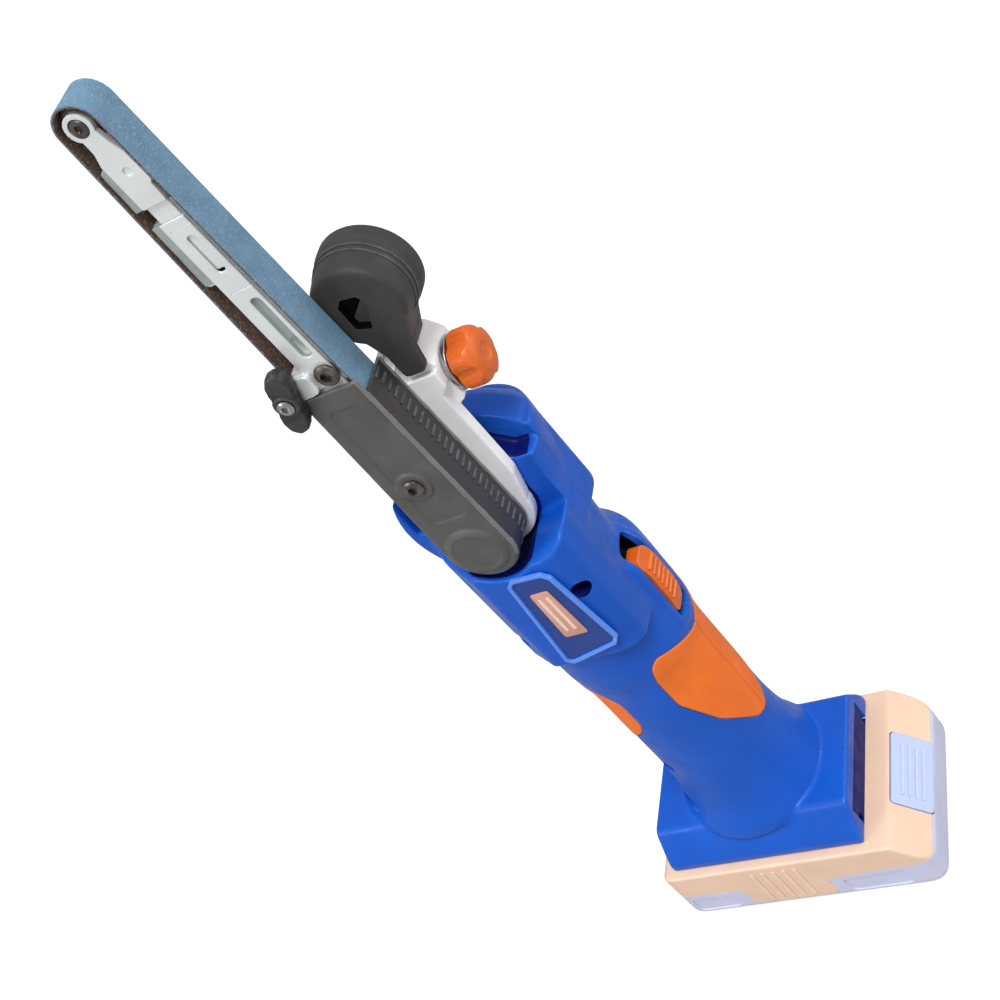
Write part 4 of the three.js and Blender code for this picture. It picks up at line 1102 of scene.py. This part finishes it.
def make_cover():
    r, y0, y1 = COVER_R, COVER_Y0, COVER_Y1
    full = stack([(cover_line(r - 1.7), y0), (cover_line(r - 0.5), y0 + 0.5), (cover_line(r), y0 + 1.5),
                  (cover_line(r), y1)], "Y")
    rim = stack([(cover_line(r + 0.45), y1 - 0.9), (cover_line(r + 0.45), y1)], "Y")
    boss_r = COVER_BOSS_R
    boss = turned([(0, y0 + 0.5), (boss_r, y0 + 0.5), (boss_r, y0 - 0.2), (boss_r - 0.8, y0 - 1.0),
                   (boss_r - 2.2, y0 - 1.6), (boss_r - 3.4, y0 - 1.2), (0, y0 - 0.9)], "Y",
                  (0, 0, DRIVE_Z + 1), 80)
    panel = prism(eased([(-7.5, 272), (7.8, 272), (6.4, 331), (-6.2, 331)], 3), "Y", y0 - 1, y0 + 0.45)
    screw_pad = pin(6.2, y0 - 0.3, y0 + 1, COVER_SCREW[0], COVER_SCREW[1], 56)
    work = join(cut(join(full, rim, boss), panel), screw_pad)
    work = softened(work, 0.36, 2)
    work = join(work, cover_ribs())
    line = cover_line(r - COVER_WALL)
    hollow = prism(line, "Y", y0 + 1.3, y1 + 1)
    open_end = block(-30, 30, y0 + 1.3, y1 + 1, COVER_FRONT - 6, COVER_FRONT + 10)
    bore = pin(2.2, -40, -20, COVER_SCREW[0], COVER_SCREW[1])
    seat = pin(4.1, -40, y0 - 0.02, COVER_SCREW[0], COVER_SCREW[1])
    # the skirt is painted darker as shade
    painted_light_faces = [(COVER_SKIRT_SHADE, lambda x, y, z, normal: y0 + 1.6 < y < y1 - 1.1),
                # the rims along the cover's top edge are painted lighter as a highlight
                (COVER_EDGE_HIGHLIGHT, lambda x, y, z, normal: x > r - 2.4 - (z - DRIVE_Z) * RUN_SLOPE
                 and (y0 + 0.25 < y <= y0 + 1.6 or y >= y1 - 1.1))]
    piece("belt_cover_shell", cut(work, hollow, open_end, bore, seat), DARK, "arm", ["belt_cover"],
          40, painted_light_faces)
    screw("cover_fixing_screw", "cover_screw", "arm", COVER_SCREW, 3.8, -31.4, -33, 1.9, -21.4)


# ---- dust nozzle
NOZZLE_CENTRE = (18.0, 0, 352.0)
NOZZLE_BORE_R = 14.2


def make_nozzle():
    centre = NOZZLE_CENTRE
    drum = turned([(0, -13.9), (14, -13.9), (15.1, -13.4), (15.7, -12), (16.4, -6), (17.2, 0), (17.6, 1),
                   (17.6, 5.6), (17.1, 6.4), (0, 6.4)], "Y", centre, 96)
    plate = prism(eased([(14, 321), (21.5, 321), (23.5, 323), (27.5, 342), (13, 350)], 2), "Y", -13.9,
                  -11.3)
    funnel = prism(eased([(15, 327.5), (22, 327.5), (31.5, 345), (9, 345)], 2), "Y", -13.9, 1)
    work = softened(heap(drum, plate, funnel), 0.4, 5)
    rings = [ring(15.6, 16.75 + 0.35 * k, -5.2 + 2.3 * k, -4.4 + 2.3 * k, "Y", centre, 96)
             for k in range(2)]
    work = join(work, *rings)
    socket = turned([(0, -10.4), (13.6, -10.4), (NOZZLE_BORE_R, -9.8), (NOZZLE_BORE_R, 5.6), (15, 6.6),
                     (15, 10), (0, 10)], "Y", centre, 96)
    mouth = prism(eased([(12.4, 345.5), (17.6, 343.6), (22.2, 352.5), (21, 356.5), (15, 357.5),
                         (12.4, 355)], 1.2), "Y", -20, 5)
    # the socket's inside is painted near-black as shade
    inside = (PAINTED_DEEP_SHADE, lambda x, y, z, normal: -13.6 < y < 5 and z > 343
              and math.hypot(x - centre[0], z - centre[2]) < NOZZLE_BORE_R + 0.1)
    piece("dust_port", cut(work, socket, mouth), NOZZLE_GREY, "arm", ["dust_nozzle"], 40,
          [inside])


# ---- tracking knob
def make_tracking_knob():
    x, z = TRACKING
    tilt = math.radians(-17)

    def wing(grow, ripple=0.0):
        points = []
        for i in range(96):
            angle = 2 * PI * i / 96
            reach = 4.6 + 8 * math.cos(angle) ** 4 + grow + ripple * math.cos(24 * angle)
            a, b = reach * math.sin(angle) * 0.95, reach * math.cos(angle)
            points.append((x + a * math.cos(tilt) - b * math.sin(tilt),
                           z + a * math.sin(tilt) + b * math.cos(tilt)))
        return points
    body = stack([(wing(-1.0), -36.6), (wing(-0.3, 0.12), -36.2), (wing(0, 0.22), -35.4),
                  (wing(0, 0.22), -32.4), (wing(-0.5), -31.5)], "Y")
    hub = turned([(0, -36.9), (4.0, -36.9), (4.6, -36.4), (4.6, -34), (0, -34)], "Y", (x, 0, z), 48)
    knob = cut(join(body, hub), pin(3.2, -40, -36.5, x, z), pin(2.2, -40, -20, x, z))
    piece("tracking_wing_knob", knob, BLACK, "tracking_adjuster", ["tracking_knob"], 32)
    screw("tracking_knob_screw", "tracking_screw", "tracking_adjuster", TRACKING, 2.9, -36.6, -38, 1.9,
          -29.6, STEEL)


make_cover()
make_nozzle()
make_tracking_knob()

# ---- battery
PACK_X0 = -53.3
PACK_X1 = 68.3
PACK_HALF = 39.2
PACK_TOP = 34.7
SPLIT = [(-70, 19.5), (-25, 18), (-20, 14), (-16.5, 6.2), (17, 5.2), (20.5, 13), (26, 18), (90, 20.5)]
END_SLOPE = {"x": 61.5, "z": 26.6, "turn": 49}
BLADE_Y = 8.0
CELL_ROOM = (-49, 49, -34, 34)


def on_slope(work):
    return moved(turned_by(work, END_SLOPE["turn"], "Y"), END_SLOPE["x"], 0, END_SLOPE["z"])


def pack_plan(k):
    return rounded(PACK_X0 + k, PACK_X1 - k, -PACK_HALF + k, PACK_HALF - k, 8 - k * 0.5, 10)


def split_zone(shift, above):
    line = [(x, z + shift) for x, z in flowing(SPLIT, 5)]
    edge = 80 if above else -10
    return prism(line + [(line[-1][0], edge), (line[0][0], edge)], "Y", -60, 60)


def make_battery():
    layers = [(pack_plan(3.4), 0), (pack_plan(2.2), 0.8), (pack_plan(2.0), 2.6), (pack_plan(0.3), 3.6),
              (pack_plan(0), 5), (pack_plan(0), PACK_TOP)]
    side = [(PACK_X0, -1), (PACK_X1, -1), (PACK_X1, 19), (54.6, PACK_TOP), (-49.5, PACK_TOP), (PACK_X0, 31)]
    shell = within(stack(layers, "Z"), prism(eased(side, 3), "Y", -50, 50))
    whole = softened(shell, 0.75, 10, 0.6)
    tower = block(-33.5, 44, -26, 26, PACK_TOP - 0.15, 47)
    grooves = [block(-40, 60, 23.1, 30, 34.9, 40.2), block(-40, 60, -30, -23.1, 34.9, 40.2)]
    blades = [block(-40, -22, hand * BLADE_Y - 1, hand * BLADE_Y + 1, 41.4, 46.2) for hand in (-1, 1)]
    tower = bevelled(cut(tower, *grooves, *blades), 0.5, 3)
    piece("battery_rail_tower", tower, NAVY_AND_PAINTED_SHADE, "battery", angle=35)
    room = on_slope(prism(rounded(-10.2, 10.2, -17.6, 17.6, 2.2), "Z", -6.6, 20))
    slits = heap(*[prism(rounded(x - 1.1, x + 1.1, y, y + 10, 1), "Z", 33.9, 36)
                   for y in (-30, 20) for x in (-46, -42, -38)])
    whole = cut(whole, room, slits)
    scoops = [prism(eased(outline, 2.5), "Y", hand * PACK_HALF - 0.7, hand * PACK_HALF + 0.7)
              for outline in ([(-47, 5.5), (-27, 5.5), (-24, 15), (-47, 16)],
                              [(27, 5.5), (54, 5.5), (54, 17), (25, 15)]) for hand in (-1, 1)]
    whole = cut(whole, *scoops)
    ribs = heap(*[prism(rounded(x - 0.8, x + 0.8, 8, 30, 0.7), "Y", hand * 38.9 - 0.7, hand * 38.9 + 0.7)
                  for hand in (-1, 1) for x in (-10, -5, 0, 5, 10)])
    whole = join(whole, ribs)
    whole = cut(whole, block(*CELL_ROOM, 2.6, 31))
    lower = within(copied(whole), split_zone(-0.18, False))
    upper = within(whole, split_zone(0.18, True))
    piece("battery_upper_case", upper, PEACH, "battery", ["battery_top_case"], 40)
    piece("battery_lower_case", lower, LAVENDER, "battery", ["battery_bottom_case"], 40)
    cap = softened(prism(rounded(-9.8, 9.8, -17.2, 17.2, 2), "Z", -3.2, 0.9), 0.4, 4)
    grips = heap(*[prism(rounded(x - 0.6, x + 0.6, -12.5, 12.5, 0.55), "Z", 0.3, 1.5)
                   for x in (-4.8, -1.6, 1.6, 4.8)])
    piece("battery_release_button", on_slope(join(cap, grips)), BUTTON_BLUE, "latch_button",
          ["battery_button"], 40)


make_battery()
